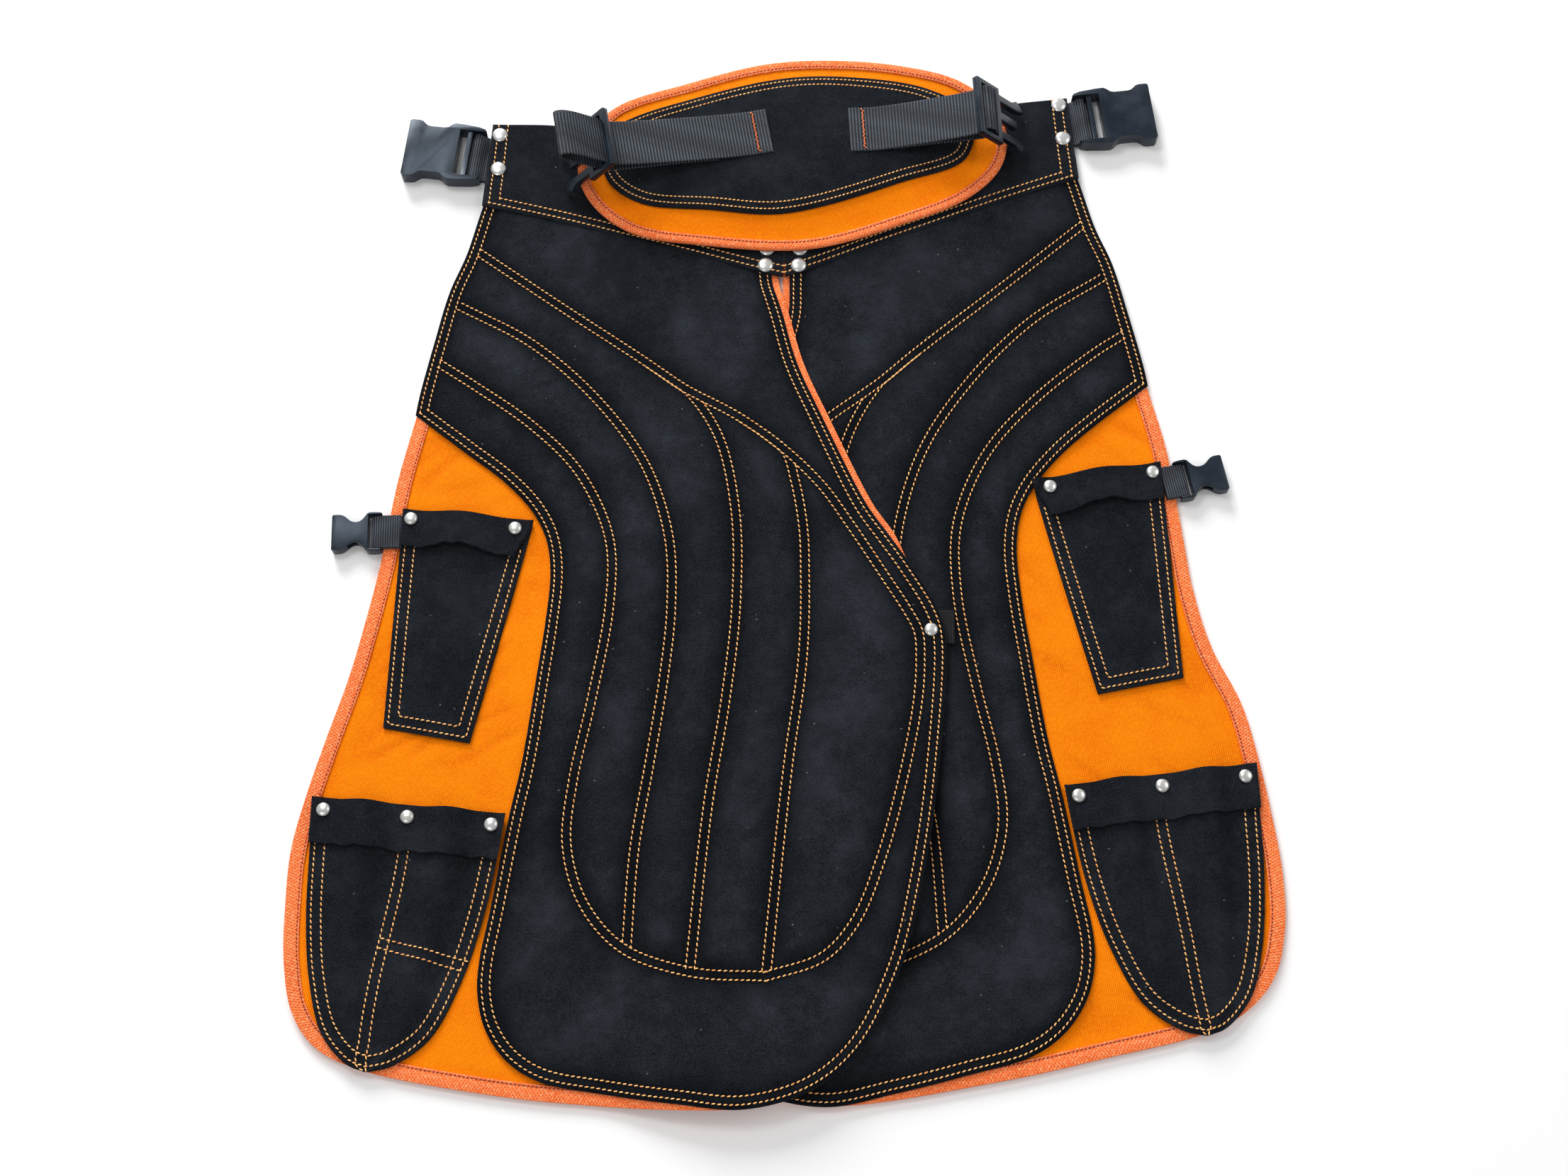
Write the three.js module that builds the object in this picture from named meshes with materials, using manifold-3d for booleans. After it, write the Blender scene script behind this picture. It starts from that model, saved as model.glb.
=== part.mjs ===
// Farrier apron, laid open with its left leg over its right leg and its back pad on the yoke.
// Millimetres. +X is the picture's right, +Y runs from the hem to the waist, +Z is up.
// Tables of the two legs are given once, as "out" from the centre line and "up" from the middle.
import * as THREE from "three";
import { mergeVertices } from "three/addons/utils/BufferGeometryUtils.js";
import Module from "manifold-3d";

const wasm = await Module();
wasm.setup();

// Material thicknesses and the clearance between pieces
const GAP = 0.3;
const TAPE = 1.0;
const TAPE_WIDTH = 10.5;
const CANVAS = 1.2;
const LEATHER = 2.4;
const POCKET_LEATHER = 2.0;
const WEBBING = 1.6;
const QUILT_RISE = 3.2;

// Levels of the layers, counted up from the surface the apron lies on
const CANVAS_BASE = TAPE + GAP;
const CANVAS_TOP = CANVAS_BASE + CANVAS;
const SEWN_BASE = CANVAS_TOP + GAP;
const TAPE_TOP = SEWN_BASE + TAPE;
const LEATHER_TOP = SEWN_BASE + LEATHER;
const BAND_BASE = LEATHER_TOP + GAP;
const YOKE_SEAM_BASE = LEATHER_TOP + GAP;
const YOKE_BASE = 2 * WEBBING + 3 * GAP;
const YOKE_SEAM_TOP = YOKE_SEAM_BASE + LEATHER;

// The two sides: the right one lies a little higher up, fully so from RISE_REACH outwards
const SIDES = {
  left: { sign: -1, rise: 0, lean: 0, tucked: 0, pocketRise: 0 },
  right: { sign: 1, rise: 24, lean: -0.0145, tucked: 1, pocketRise: 13 },
};
const RISE_REACH = 230;

// Outer edge and hem of a leg panel, from under the leather round to the inner corner;
// "tuck" is how far the right panel's edge curls in there
const HEM_EDGE = [
  { out: 267, up: 152 },
  { out: 272, up: 130 },
  { out: 282, up: 82 },
  { out: 291, up: 15, tuck: 2.2 },
  { out: 298.5, up: -26, tuck: 5.6 },
  { out: 308, up: -70, tuck: 5.2 },
  { out: 320, up: -112, tuck: -0.4 },
  { out: 331, up: -153, tuck: 2 },
  { out: 339, up: -193, tuck: 4.5 },
  { out: 340, up: -230, tuck: 2 },
  { out: 338, up: -270, tuck: 1.5 },
  { out: 330, up: -304, tuck: 3.5 },
  { out: 313, up: -327, tuck: 7 },
  { out: 284, up: -341, tuck: 5 },
  { out: 209, up: -356 },
  { out: 140, up: -364 },
  { out: 26, up: -368 },
];

// Inner edge of each leg panel; the right one keeps clear until the left one is above it
const INNER_EDGE = [
  { up: -356, left: -18, right: -18 },
  { up: -329, left: -50, right: -50 },
  { up: -274, left: -78, right: -78 },
  { up: -212, left: -94, right: -94 },
  { up: -136, left: -106, right: -106 },
  { up: -43, left: -113, right: -113 },
  { up: -22, left: -108, right: -108 },
  { up: 12, left: -90, right: -90 },
  { up: 36, left: -79.5, right: -79.5 },
  { up: 60, left: -64, right: -64 },
  { up: 132, left: -31.5, right: -30 },
  { up: 174, left: -14.5, right: -14 },
  { up: 214, left: -4, right: -2 },
  { up: 241, left: 3.4, right: -0.8 },
  { up: 261, left: 5.5, right: -0.8 },
];

// Leather leg: thigh edge down to the side corner, then the edge that faces the canvas
const THIGH_EDGE = [
  { out: 226, up: 323 },
  { out: 231, up: 307 },
  { out: 241, up: 267 },
  { out: 252, up: 236 },
  { out: 261, up: 195 },
  { out: 270, up: 149 },
  { out: 272, up: 134 },
];
const SHIN_EDGE = [
  { out: 272, up: 134 },
  { out: 232, up: 103 },
  { out: 204, up: 81 },
  { out: 183, up: 58 },
  { out: 172, up: 36 },
  { out: 168, up: 10 },
  { out: 170, up: -29 },
  { out: 175, up: -71 },
  { out: 183, up: -133 },
  { out: 190, up: -170 },
  { out: 200, up: -235 },
  { out: 206, up: -272 },
  { out: 206, up: -292 },
  { out: 200, up: -315 },
  { out: 185, up: -336 },
  { out: 162, up: -350 },
  { out: 120, up: -358 },
  { out: 73, up: -365 },
  { out: 26, up: -369 },
];
// The leather leaves the tape bare at the top of the inner edge and overhangs it at the foot
const LEATHER_SHOW = { width: 5, from: 4, to: 40 };
const LEATHER_OVERHANG = 1.5;
// The canvas stays this far inside the leather where it has no tape
const CANVAS_INSET = 6;

// Quilting seams, top to bottom; the padded channels lie between neighbours
const SEAMS = {
  outer: [
    { out: 257, up: 176 },
    { out: 233, up: 160 },
    { out: 185, up: 125 },
    { out: 149, up: 87 },
    { out: 126, up: 35 },
    { out: 124, up: -19 },
    { out: 135, up: -90 },
    { out: 146, up: -146 },
    { out: 149, up: -191 },
    { out: 136, up: -232 },
    { out: 108, up: -263 },
  ],
  second: [
    { out: 243, up: 223 },
    { out: 188, up: 192 },
    { out: 139, up: 147 },
    { out: 103, up: 96 },
    { out: 83, up: 35 },
    { out: 80, up: -19 },
    { out: 84, up: -70 },
    { out: 93, up: -135 },
    { out: 102, up: -195 },
    { out: 106, up: -264 },
  ],
  third: [
    { out: 233, up: 270 },
    { out: 165, up: 221 },
    { out: 100, up: 175 },
    { out: 73, up: 154 },
    { out: 48, up: 113 },
    { out: 35, up: 53 },
    { out: 34, up: -19 },
    { out: 41, up: -90 },
    { out: 52, up: -163 },
    { out: 63, up: -278 },
  ],
  fourth: [
    { out: 73, up: 154 },
    { out: 30, up: 126 },
    { out: 0, up: 102 },
    { out: -8, up: 77 },
    { out: -14, up: 39 },
    { out: -15, up: 5 },
    { out: -14.5, up: -36 },
    { out: -12, up: -70 },
    { out: -3, up: -135 },
    { out: 12, up: -282 },
  ],
  inner: [
    { out: 0, up: 102 },
    { out: -28, up: 72.5 },
    { out: -47, up: 44 },
    { out: -72.5, up: 2.5 },
    { out: -87.5, up: -22.5 },
    { out: -95, up: -38.5 },
    { out: -96, up: -59 },
    { out: -93.5, up: -90 },
    { out: -82, up: -146 },
    { out: -66, up: -202 },
    { out: -48, up: -245 },
    { out: -26, up: -269 },
    { out: 12, up: -282 },
  ],
};
const CHANNELS = [
  { from: "outer", to: "second", fromStart: 0 },
  { from: "second", to: "third", fromStart: 0 },
  { from: "third", to: "fourth", fromStart: 0.3 },
  { from: "fourth", to: "inner", fromStart: 0.2 },
];
const CHANNEL_STATIONS = 8;
const SEAM_HALF = 4;

// Where the left leg climbs over the edge of the right leg
const CLIMB_WIDTH = 85;
const CLIMB_COLUMNS = 5;
const SLAB_REACH = 380;
// It clears the bare leather just below the yoke, and the quilting and tab lower down
const CLIMB = [
  { from: 247, to: 227, lift: LEATHER_TOP + GAP },
  { from: 214, to: 90, lift: QUILT_RISE + WEBBING + GAP },
];
const CLIMB_ROWS = [247, 244, 238, 235, 232, 227, 222, 110, 90];

const LEG_LIFT = CLIMB.reduce((sum, { lift }) => sum + lift, 0);

// Yoke halves, from the centre gap out to the waist end
const YOKE = [
  { lowOut: 0.8, low: 248, topOut: 0.8, top: 318 },
  { lowOut: 22, low: 253, topOut: 24, top: 322 },
  { lowOut: 70, low: 267, topOut: 74, top: 340 },
  { lowOut: 110, low: 278, topOut: 112, top: 358 },
  { lowOut: 165, low: 293, topOut: 165, top: 378 },
  { lowOut: 231, low: 309, topOut: 226, top: 381 },
];
const YOKE_STRIP = { centre: 30, end: 14, fall: 14 };
const YOKE_SPANS = 9;
const YOKE_TAB = { width: 48, low: 271, top: 312 };

// Pocket fronts: pairs of side points from the mouth to the foot
const KNIFE_POCKET = {
  sections: [
    { outerOut: 276, outerUp: 57, innerOut: 182, innerUp: 48 },
    { outerOut: 278, outerUp: 3, innerOut: 194, innerUp: -6 },
    { outerOut: 281, outerUp: -106, innerOut: 220, innerUp: -117 },
  ],
  bays: [{ from: 0.13, to: 0.82 }],
  swell: 10,
  band: 0.165,
  bandFlare: 2.5,
  columns: 9,
  rows: 5,
  rivets: [0.065, 0.88],
};
const TOOL_POUCH = {
  sections: [
    { outerOut: 326, outerUp: -158, innerOut: 193, innerUp: -170 },
    { outerOut: 326, outerUp: -197, innerOut: 197, innerUp: -201 },
    { outerOut: 325, outerUp: -240, innerOut: 204, innerUp: -239 },
    { outerOut: 320, outerUp: -282, innerOut: 217, innerUp: -283 },
    { outerOut: 309, outerUp: -318, innerOut: 236.5, innerUp: -322 },
    { outerOut: 289, outerUp: -338.5, innerOut: 264, innerUp: -340 },
  ],
  bays: [
    { from: 0.12, to: 0.44 },
    { from: 0.56, to: 0.88 },
  ],
  swell: 10,
  band: 0.19,
  bandFlare: 0,
  columns: 12,
  rows: 6,
  rivets: [0.06, 0.5, 0.94],
};
const RIVET_DEPTH = 0.035;
const MOUTH_RUN = 0.02;
const BAND_OVERHANG = 0.01;
// The foot of the knife pocket's inner corner stops short of the leather leg
const POCKET_CLEARANCE = 0.05;

// Back pad: its centre on the yoke, its edge and its leather lens
const PAD_CENTRE = { x: 6, y: 350 };
// The pad is flat under its tape and swells to the crown inside this share of its reach
const PAD_RIM = 0.86;
const PAD_CROWN = 8;
const PAD_LEATHER = 2.0;
const PAD_RINGS = [1, PAD_RIM, 0.66, 0.4];
const LENS_RINGS = [1, 0.72, 0.4];
const PAD_EDGE = [
  { x: -164, y: -8 },
  { x: -141, y: 38 },
  { x: -78, y: 64 },
  { x: -18, y: 81 },
  { x: 35, y: 84 },
  { x: 86, y: 79 },
  { x: 128, y: 67 },
  { x: 154, y: 46 },
  { x: 166, y: 18 },
  { x: 160, y: -12 },
  { x: 135, y: -38 },
  { x: 84, y: -61 },
  { x: 14, y: -82 },
  { x: -66, y: -79 },
  { x: -123, y: -68 },
  { x: -155, y: -40 },
];
const PAD_LENS = [
  { x: -146, y: 0 },
  { x: -137, y: 22 },
  { x: -75, y: 48 },
  { x: -4, y: 66 },
  { x: 46, y: 67 },
  { x: 105, y: 57 },
  { x: 138, y: 35 },
  { x: 134, y: -4 },
  { x: 84, y: -27 },
  { x: -4, y: -54 },
  { x: -60, y: -51 },
  { x: -115, y: -44 },
  { x: -140, y: -25 },
];

// Webbing widths and the socket halves of the side release buckles
const WAIST_WEBBING_WIDTH = 38;
const THIGH_WEBBING_WIDTH = 25;
// Plan of each socket from the mouth inwards: share of its length and of its half width
const SOCKETS = {
  waist: {
    webbing: WAIST_WEBBING_WIDTH,
    length: 60,
    half: 24.5,
    height: 12,
    inset: 2,
    mouth: 17.6,
    window: 0.66,
    bar: { from: 0.89, to: 0.93 },
    grip: { from: 0.76, to: 0.82, low: 0.3, high: 0.8 },
    plan: [
      { share: 0, breadth: 0.95 },
      { share: 0.025, breadth: 1 },
      { share: 0.12, breadth: 1 },
      { share: 0.165, breadth: 0.97 },
      { share: 0.195, breadth: 0.9 },
      { share: 0.235, breadth: 0.83 },
      { share: 0.28, breadth: 0.81 },
      { share: 0.45, breadth: 0.81 },
      { share: 0.5, breadth: 0.84 },
      { share: 0.55, breadth: 0.95 },
      { share: 0.59, breadth: 1 },
      { share: 0.7, breadth: 0.99 },
      { share: 0.9, breadth: 0.94 },
      { share: 0.98, breadth: 0.88 },
      { share: 1, breadth: 0.82 },
    ],
  },
  thigh: {
    webbing: THIGH_WEBBING_WIDTH,
    length: 36,
    half: 15,
    height: 9,
    inset: 9,
    mouth: 10.3,
    window: 0.73,
    bar: { from: 0.852, to: 0.918 },
    plan: [
      { share: 0, breadth: 0.86 },
      { share: 0.03, breadth: 0.92 },
      { share: 0.15, breadth: 0.92 },
      { share: 0.22, breadth: 0.87 },
      { share: 0.28, breadth: 0.77 },
      { share: 0.34, breadth: 0.64 },
      { share: 0.4, breadth: 0.55 },
      { share: 0.475, breadth: 0.51 },
      { share: 0.55, breadth: 0.54 },
      { share: 0.61, breadth: 0.64 },
      { share: 0.66, breadth: 0.79 },
      { share: 0.7, breadth: 0.94 },
      { share: 0.75, breadth: 1 },
      { share: 0.86, breadth: 1 },
      { share: 0.95, breadth: 0.98 },
      { share: 1, breadth: 0.95 },
    ],
  },
};
const SOCKET_WALL = 2.2;
const SOCKET_BAR = { low: 0.27, high: 0.52 };
const SOCKET_CAVITY = 0.5;
const SLOT_PLAY = 0.7;

// Where each socket is sewn on, and how far it turns up from the level
const SOCKET_SEATS = [
  { kind: "waist", side: "left", x: -230, y: 351, turn: 6.5 },
  { kind: "waist", side: "right", x: 224.5, y: 383, turn: 6.5 },
  { kind: "thigh", side: "left", x: -281.7, y: 41, turn: -2 },
  { kind: "thigh", side: "right", x: 277.6, y: 78.8, turn: 10.8 },
];
// Centre line of the webbing round each socket bar: distance outwards and height
const WEBBING_ROUTES = {
  waist: [
    { along: -36, high: 1.1 },
    { along: 0, high: 1.1 },
    { along: 4, high: 1.3 },
    { along: 7.5, high: 1.6 },
    { along: 10, high: 2.6 },
    { along: 10.9, high: 4.8 },
    { along: 10, high: 7.2 },
    { along: 7.8, high: 8.1 },
    { along: 5.4, high: 7.3 },
    { along: 2.8, high: 4.9 },
    { along: 0.6, high: 3.15 },
    { along: -2, high: 3 },
    { along: -36, high: 3 },
  ],
  thigh: [
    { along: 0.3, high: 4.9 },
    { along: 8, high: 4.9 },
    { along: 9.4, high: 3.6 },
    { along: 10.6, high: 2 },
    { along: 11.8, high: 1.15 },
    { along: 13.2, high: 1 },
    { along: 15.2, high: 1.7 },
    { along: 16, high: 3.6 },
    { along: 15.2, high: 5.7 },
    { along: 12.8, high: 6.6 },
    { along: 8.5, high: 6.95 },
    { along: 5, high: 6.9 },
    { along: 0.3, high: 6.9 },
  ],
};

// Pad straps: sewn end, heading, and the plug half that stands at the far end
const STRAPS = [
  { side: "left", x: -11, y: 364, heading: 190, reach: 124 },
  { side: "right", x: 50, y: 365, heading: 3, reach: 98 },
];
const STRAP_SEWN = 22;
const STRAP_PROBES = 8;
const PLUG_PITCH = THREE.MathUtils.degToRad(47);
const PLUG_HEIGHT = 49.6;
const PLUG_THICK = 5;
// Webbing through each plug: distance towards the prongs and height above its plate
const PLUG_ROUTES = {
  left: [
    { along: 4, above: -9 },
    { along: 5, above: -3 },
    { along: 5, above: 3 },
    { along: 5.5, above: 14 },
    { along: 6.5, above: 26 },
    { along: 9, above: 34 },
    { along: 13, above: 37 },
    { along: 16.5, above: 33 },
    { along: 16.5, above: 24 },
    { along: 15.2, above: 12 },
    { along: 15, above: 3 },
    { along: 15, above: -3 },
    { along: 13.5, above: -8 },
  ],
  right: [
    { along: 4, above: -9 },
    { along: 5, above: -3 },
    { along: 5.2, above: 2.6 },
    { along: 8, above: 4.4 },
    { along: 12, above: 4.4 },
    { along: 14.8, above: 2.6 },
    { along: 15, above: -3 },
    { along: 13.5, above: -8 },
  ],
};
// Free end of the webbing under the strap, back towards the sewn end
const STRAP_TAIL = [
  { share: 0.62, high: 29 },
  { share: 0.34, high: 24.6 },
];
const PLUG = {
  half: 24.5,
  tail: -3,
  slots: [
    { from: 2, to: 8 },
    { from: 12, to: 18 },
  ],
  slotHalf: 20.5,
  body: 24,
  prongFrom: 13,
  prongTo: 19,
  barb: 22.5,
  barbFrom: 40,
  barbAt: 46,
  tip: 55,
  tipAt: 15,
  tongueHalf: 3.5,
  tongueTip: 44,
};

// Webbing end that shows under the inner edge of the left leg
const THIGH_TAB = { x: 85, y: -33, length: 36 };

const RIVET_SIDES = 8;
const RIVET_RISE = 2.2;
const RIVET_RIM = 0.7;
const RIVET_SHOULDER = { out: 0.72, up: 0.8 };
const WAIST_RIVET = 5.8;
const POCKET_RIVET = 4.7;
const YOKE_RIVETS = [
  { name: "rivet_waist_left_upper", x: -220, y: 371, top: YOKE_BASE + LEATHER },
  { name: "rivet_waist_left_lower", x: -220, y: 341, top: YOKE_BASE + LEATHER },
  { name: "rivet_waist_right_upper", x: 214, y: 398, top: YOKE_BASE + LEATHER },
  { name: "rivet_waist_right_lower", x: 216, y: 368, top: YOKE_BASE + LEATHER },
  { name: "rivet_centre_left_lower", x: -14, y: 257, top: YOKE_SEAM_TOP },
  { name: "rivet_centre_right_lower", x: 11, y: 257, top: YOKE_SEAM_TOP },
  { name: "rivet_centre_left_upper", x: -13, y: 271, top: YOKE_SEAM_TOP },
  { name: "rivet_centre_right_upper", x: 12, y: 271, top: YOKE_SEAM_TOP },
];
const THIGH_RIVET = { name: "rivet_thigh_inner", x: 104, y: -37, top: LEG_LIFT + LEATHER_TOP };
const PAD_BASE = YOKE_SEAM_TOP + RIVET_RISE + 2 * GAP;

// Finishes
function finish(color, roughness, metalness) {
  return new THREE.MeshStandardMaterial({ color, roughness, metalness });
}
const SUEDE = finish(0x1c1d20, 0.95, 0);
const CANVAS_CLOTH = finish(0xf58a0a, 0.9, 0);
const TAPE_CLOTH = finish(0xf47a3c, 0.85, 0);
const WEBBING_CLOTH = finish(0x2a2b2e, 0.85, 0);
const ACETAL = finish(0x17181c, 0.45, 0);
const NICKEL = finish(0xd9dbd8, 0.2, 1);

const apron = new THREE.Group();

function add(name, geometry, material, parent = apron) {
  const mesh = new THREE.Mesh(geometry, material);
  mesh.name = name;
  parent.add(mesh);
  return mesh;
}

function smooth(from, to, value) {
  return THREE.MathUtils.smoothstep(value, from, to);
}

// A closed indexed geometry whose faces point outwards
function closedGeometry(vertices, faces) {
  const geometry = new THREE.BufferGeometry();
  geometry.setAttribute("position", new THREE.Float32BufferAttribute(vertices, 3));
  const corner = [new THREE.Vector3(), new THREE.Vector3(), new THREE.Vector3()];
  let volume = 0;
  for (const face of faces) {
    face.forEach((index, k) => corner[k].fromArray(vertices, 3 * index));
    volume += corner[0].dot(corner[1].clone().cross(corner[2]));
  }
  const outward = volume < 0 ? faces.map(([a, b, c]) => [a, c, b]) : faces;
  geometry.setIndex(outward.flat());
  return geometry;
}

// Booleans
function toSolid(geometry) {
  const bare = geometry.clone();
  bare.deleteAttribute("normal");
  bare.deleteAttribute("uv");
  const merged = mergeVertices(bare, 1e-4);
  const mesh = new wasm.Mesh({
    numProp: 3,
    vertProperties: new Float32Array(merged.attributes.position.array),
    triVerts: new Uint32Array(merged.index.array),
  });
  return new wasm.Manifold(mesh);
}

function toGeometry(solid) {
  const mesh = solid.getMesh();
  const geometry = new THREE.BufferGeometry();
  geometry.setAttribute("position", new THREE.Float32BufferAttribute(mesh.vertProperties, 3));
  geometry.setIndex(Array.from(mesh.triVerts));
  return geometry;
}

// Plan points of one side, from its table's out and up
function place(side, out, up) {
  const { sign, rise, lean } = SIDES[side];
  const share = THREE.MathUtils.clamp(out / RISE_REACH, 0, 1);
  return new THREE.Vector2(sign * out + lean * up * share, up + rise * share);
}

function placeRows(side, rows) {
  const { tucked } = SIDES[side];
  return rows.map(({ out, up, tuck = 0 }) => place(side, out - tucked * tuck, up));
}

// Evenly spaced points on a smooth curve through the given points
function curvePoints(points, step, loop = false) {
  const knots = points.map((p) => new THREE.Vector3(p.x, p.y, 0));
  const curve = new THREE.CatmullRomCurve3(knots, loop, "centripetal");
  const count = Math.max(2, Math.round(curve.getLength() / step));
  const spaced = curve.getSpacedPoints(count);
  if (loop) spaced.pop();
  return spaced.map((p) => new THREE.Vector2(p.x, p.y));
}

// An upright prism on a plan outline
function prism(outline, base, top) {
  const geometry = new THREE.ExtrudeGeometry(new THREE.Shape(outline), {
    depth: top - base,
    bevelEnabled: false,
  });
  return geometry.translate(0, 0, base);
}

function box(x0, x1, y0, y1, z0, z1) {
  const geometry = new THREE.BoxGeometry(x1 - x0, y1 - y0, z1 - z0);
  return geometry.translate((x0 + x1) / 2, (y0 + y1) / 2, (z0 + z1) / 2);
}

// A closed sheet over a grid; spot gives the plan place and both heights at a grid point
function sheet(us, vs, spot) {
  const vertices = [];
  const faces = [];
  const columns = us.length;
  const layer = columns * vs.length;
  for (const side of ["low", "high"]) {
    for (const v of vs) {
      for (const u of us) {
        const at = spot(u, v);
        vertices.push(at.x, at.y, at[side]);
      }
    }
  }
  const quad = (a, b, c, d) => faces.push([a, b, c], [a, c, d]);
  for (let j = 0; j + 1 < vs.length; j += 1) {
    for (let i = 0; i + 1 < columns; i += 1) {
      const k = j * columns + i;
      quad(k, k + columns, k + columns + 1, k + 1);
      quad(layer + k, layer + k + 1, layer + k + columns + 1, layer + k + columns);
    }
  }
  const wall = (a, b) => quad(a, b, layer + b, layer + a);
  for (let i = 0; i + 1 < columns; i += 1) {
    const last = (vs.length - 1) * columns;
    wall(i, i + 1);
    wall(last + i + 1, last + i);
  }
  for (let j = 0; j + 1 < vs.length; j += 1) {
    wall((j + 1) * columns, j * columns);
    wall((j + 1) * columns - 1, (j + 2) * columns - 1);
  }
  return closedGeometry(vertices, faces);
}

function steps(count, from = 0, to = 1) {
  return Array.from({ length: count + 1 }, (_, i) => from + ((to - from) * i) / count);
}

// A body through rings that all have the corners of one flat profile
function loft(profile, rings, loop = false) {
  const corners = profile.length;
  const vertices = rings.flat().flatMap((p) => [p.x, p.y, p.z]);
  const faces = [];
  const spans = loop ? rings.length : rings.length - 1;
  for (let i = 0; i < spans; i += 1) {
    const here = i * corners;
    const there = ((i + 1) % rings.length) * corners;
    for (let k = 0; k < corners; k += 1) {
      const next = (k + 1) % corners;
      faces.push([here + k, here + next, there + next], [here + k, there + next, there + k]);
    }
  }
  if (!loop) {
    const last = (rings.length - 1) * corners;
    const cap = THREE.ShapeUtils.triangulateShape(profile, []);
    const turned = THREE.ShapeUtils.isClockWise(profile);
    for (const [a, b, c] of cap) {
      const [p, q, r] = turned ? [a, c, b] : [a, b, c];
      faces.push([r, q, p], [last + p, last + q, last + r]);
    }
  }
  return closedGeometry(vertices, faces);
}

// Height of the left leg above the surface, where it lies on the right leg
const RIGHT_EDGE = [
  { up: -390, out: -40 },
  ...INNER_EDGE.slice(1).map(({ up, right }) => ({ up, out: right })),
  { up: 345, out: 8 },
];

function rightEdge(y) {
  const row = RIGHT_EDGE.findIndex(({ up }) => up >= y);
  if (row <= 0) return RIGHT_EDGE[0].out;
  const below = RIGHT_EDGE[row - 1];
  const above = RIGHT_EDGE[row];
  const share = (y - below.up) / (above.up - below.up);
  return THREE.MathUtils.lerp(below.out, above.out, share);
}

function climb(x, y) {
  const start = rightEdge(y) - CLIMB_WIDTH;
  const across = smooth(start, start + CLIMB_WIDTH, x);
  const lifts = CLIMB.map(({ from, to, lift }) => lift * (1 - smooth(to, from, y)));
  return across * lifts.reduce((sum, lift) => sum + lift, 0);
}

function level() {
  return 0;
}

const LIE = { left: climb, right: level };

// One layer of a leg: the plan outline cut from a slab that follows how the leg lies
function layer(side, outline, base, thickness) {
  if (LIE[side] === level) return toSolid(prism(outline, base, base + thickness));
  const offsets = steps(CLIMB_COLUMNS, -CLIMB_WIDTH, 0);
  const rows = [...CLIMB_ROWS, ...RIGHT_EDGE.map(({ up }) => up)];
  const ups = [...new Set(rows)].sort((a, b) => a - b);
  const columns = steps(offsets.length + 1, 0, offsets.length + 1);
  const slab = sheet(columns, ups, (column, y) => {
    let x = rightEdge(y) + (offsets[column - 1] ?? 0);
    if (column === 0) x = -SLAB_REACH;
    if (column === offsets.length + 1) x = SLAB_REACH;
    const low = base + LIE[side](x, y);
    return { x, y, low, high: low + thickness };
  });
  const cutter = toSolid(prism(outline, -1, LEG_LIFT + LEATHER_TOP + QUILT_RISE + 1));
  return toSolid(slab).intersect(cutter);
}

// Legs
const TAPE_STEP = { left: 21, right: 40 };
const TAPE_TOP_STEP = { left: 5, right: 30 };
const TAPE_TOP_ROWS = 4;
const EDGE_STEP = 26;

// Points along the tape's outer edge, closer together at the top of the inner edge
function tapePath(side) {
  const inner = INNER_EDGE.map((row) => ({ out: row[side], up: row.up }));
  const knots = placeRows(side, [...HEM_EDGE, ...inner]);
  const top = knots.length - TAPE_TOP_ROWS;
  const around = curvePoints(knots.slice(0, top + 1), TAPE_STEP[side]);
  return [...around.slice(0, -1), ...curvePoints(knots.slice(top), TAPE_TOP_STEP[side])];
}

// Points of the tape's path moved inwards across the leg
function inwards(side, points, distance) {
  const turn = -SIDES[side].sign;
  return points.map((p, i) => {
    const before = points[Math.max(0, i - 1)];
    const after = points[Math.min(points.length - 1, i + 1)];
    const run = after.clone().sub(before).normalize();
    return new THREE.Vector2(p.x - turn * run.y * distance, p.y + turn * run.x * distance);
  });
}

// A band along the tape's path, between two insets and two heights per profile corner
function edgeBand(side, profile) {
  const path = tapePath(side);
  const corners = profile.map((corner) => inwards(side, path, corner.x));
  const rings = path.map((_, i) =>
    profile.map((corner, k) => {
      const p = corners[k][i];
      return new THREE.Vector3(p.x, p.y, corner.y + LIE[side](p.x, p.y));
    }),
  );
  return loft(profile, rings);
}

function tapeProfile() {
  const corners = [
    [0, 0],
    [TAPE_WIDTH, 0],
    [TAPE_WIDTH, TAPE],
    [TAPE, TAPE],
    [TAPE, SEWN_BASE],
    [TAPE_WIDTH, SEWN_BASE],
    [TAPE_WIDTH, TAPE_TOP],
    [0, TAPE_TOP],
  ];
  return corners.map(([x, y]) => new THREE.Vector2(x, y));
}

// The space that pieces sewn over the tape leave free, also beyond its outer edge
const CLEAR_BEYOND = 4;

function tapeClearance(side) {
  const corners = [
    [-CLEAR_BEYOND, CANVAS_BASE],
    [TAPE_WIDTH + 2 * GAP, CANVAS_BASE],
    [TAPE_WIDTH + 2 * GAP, TAPE_TOP + GAP],
    [-CLEAR_BEYOND, TAPE_TOP + GAP],
  ];
  return toSolid(edgeBand(side, corners.map(([x, y]) => new THREE.Vector2(x, y))));
}

function canvasOutline(side) {
  const taped = inwards(side, tapePath(side), TAPE + GAP);
  const thigh = THIGH_EDGE.slice(0, -1).map(({ out, up }) => place(side, out - CANVAS_INSET, up));
  return [...taped, ...thigh];
}

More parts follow.
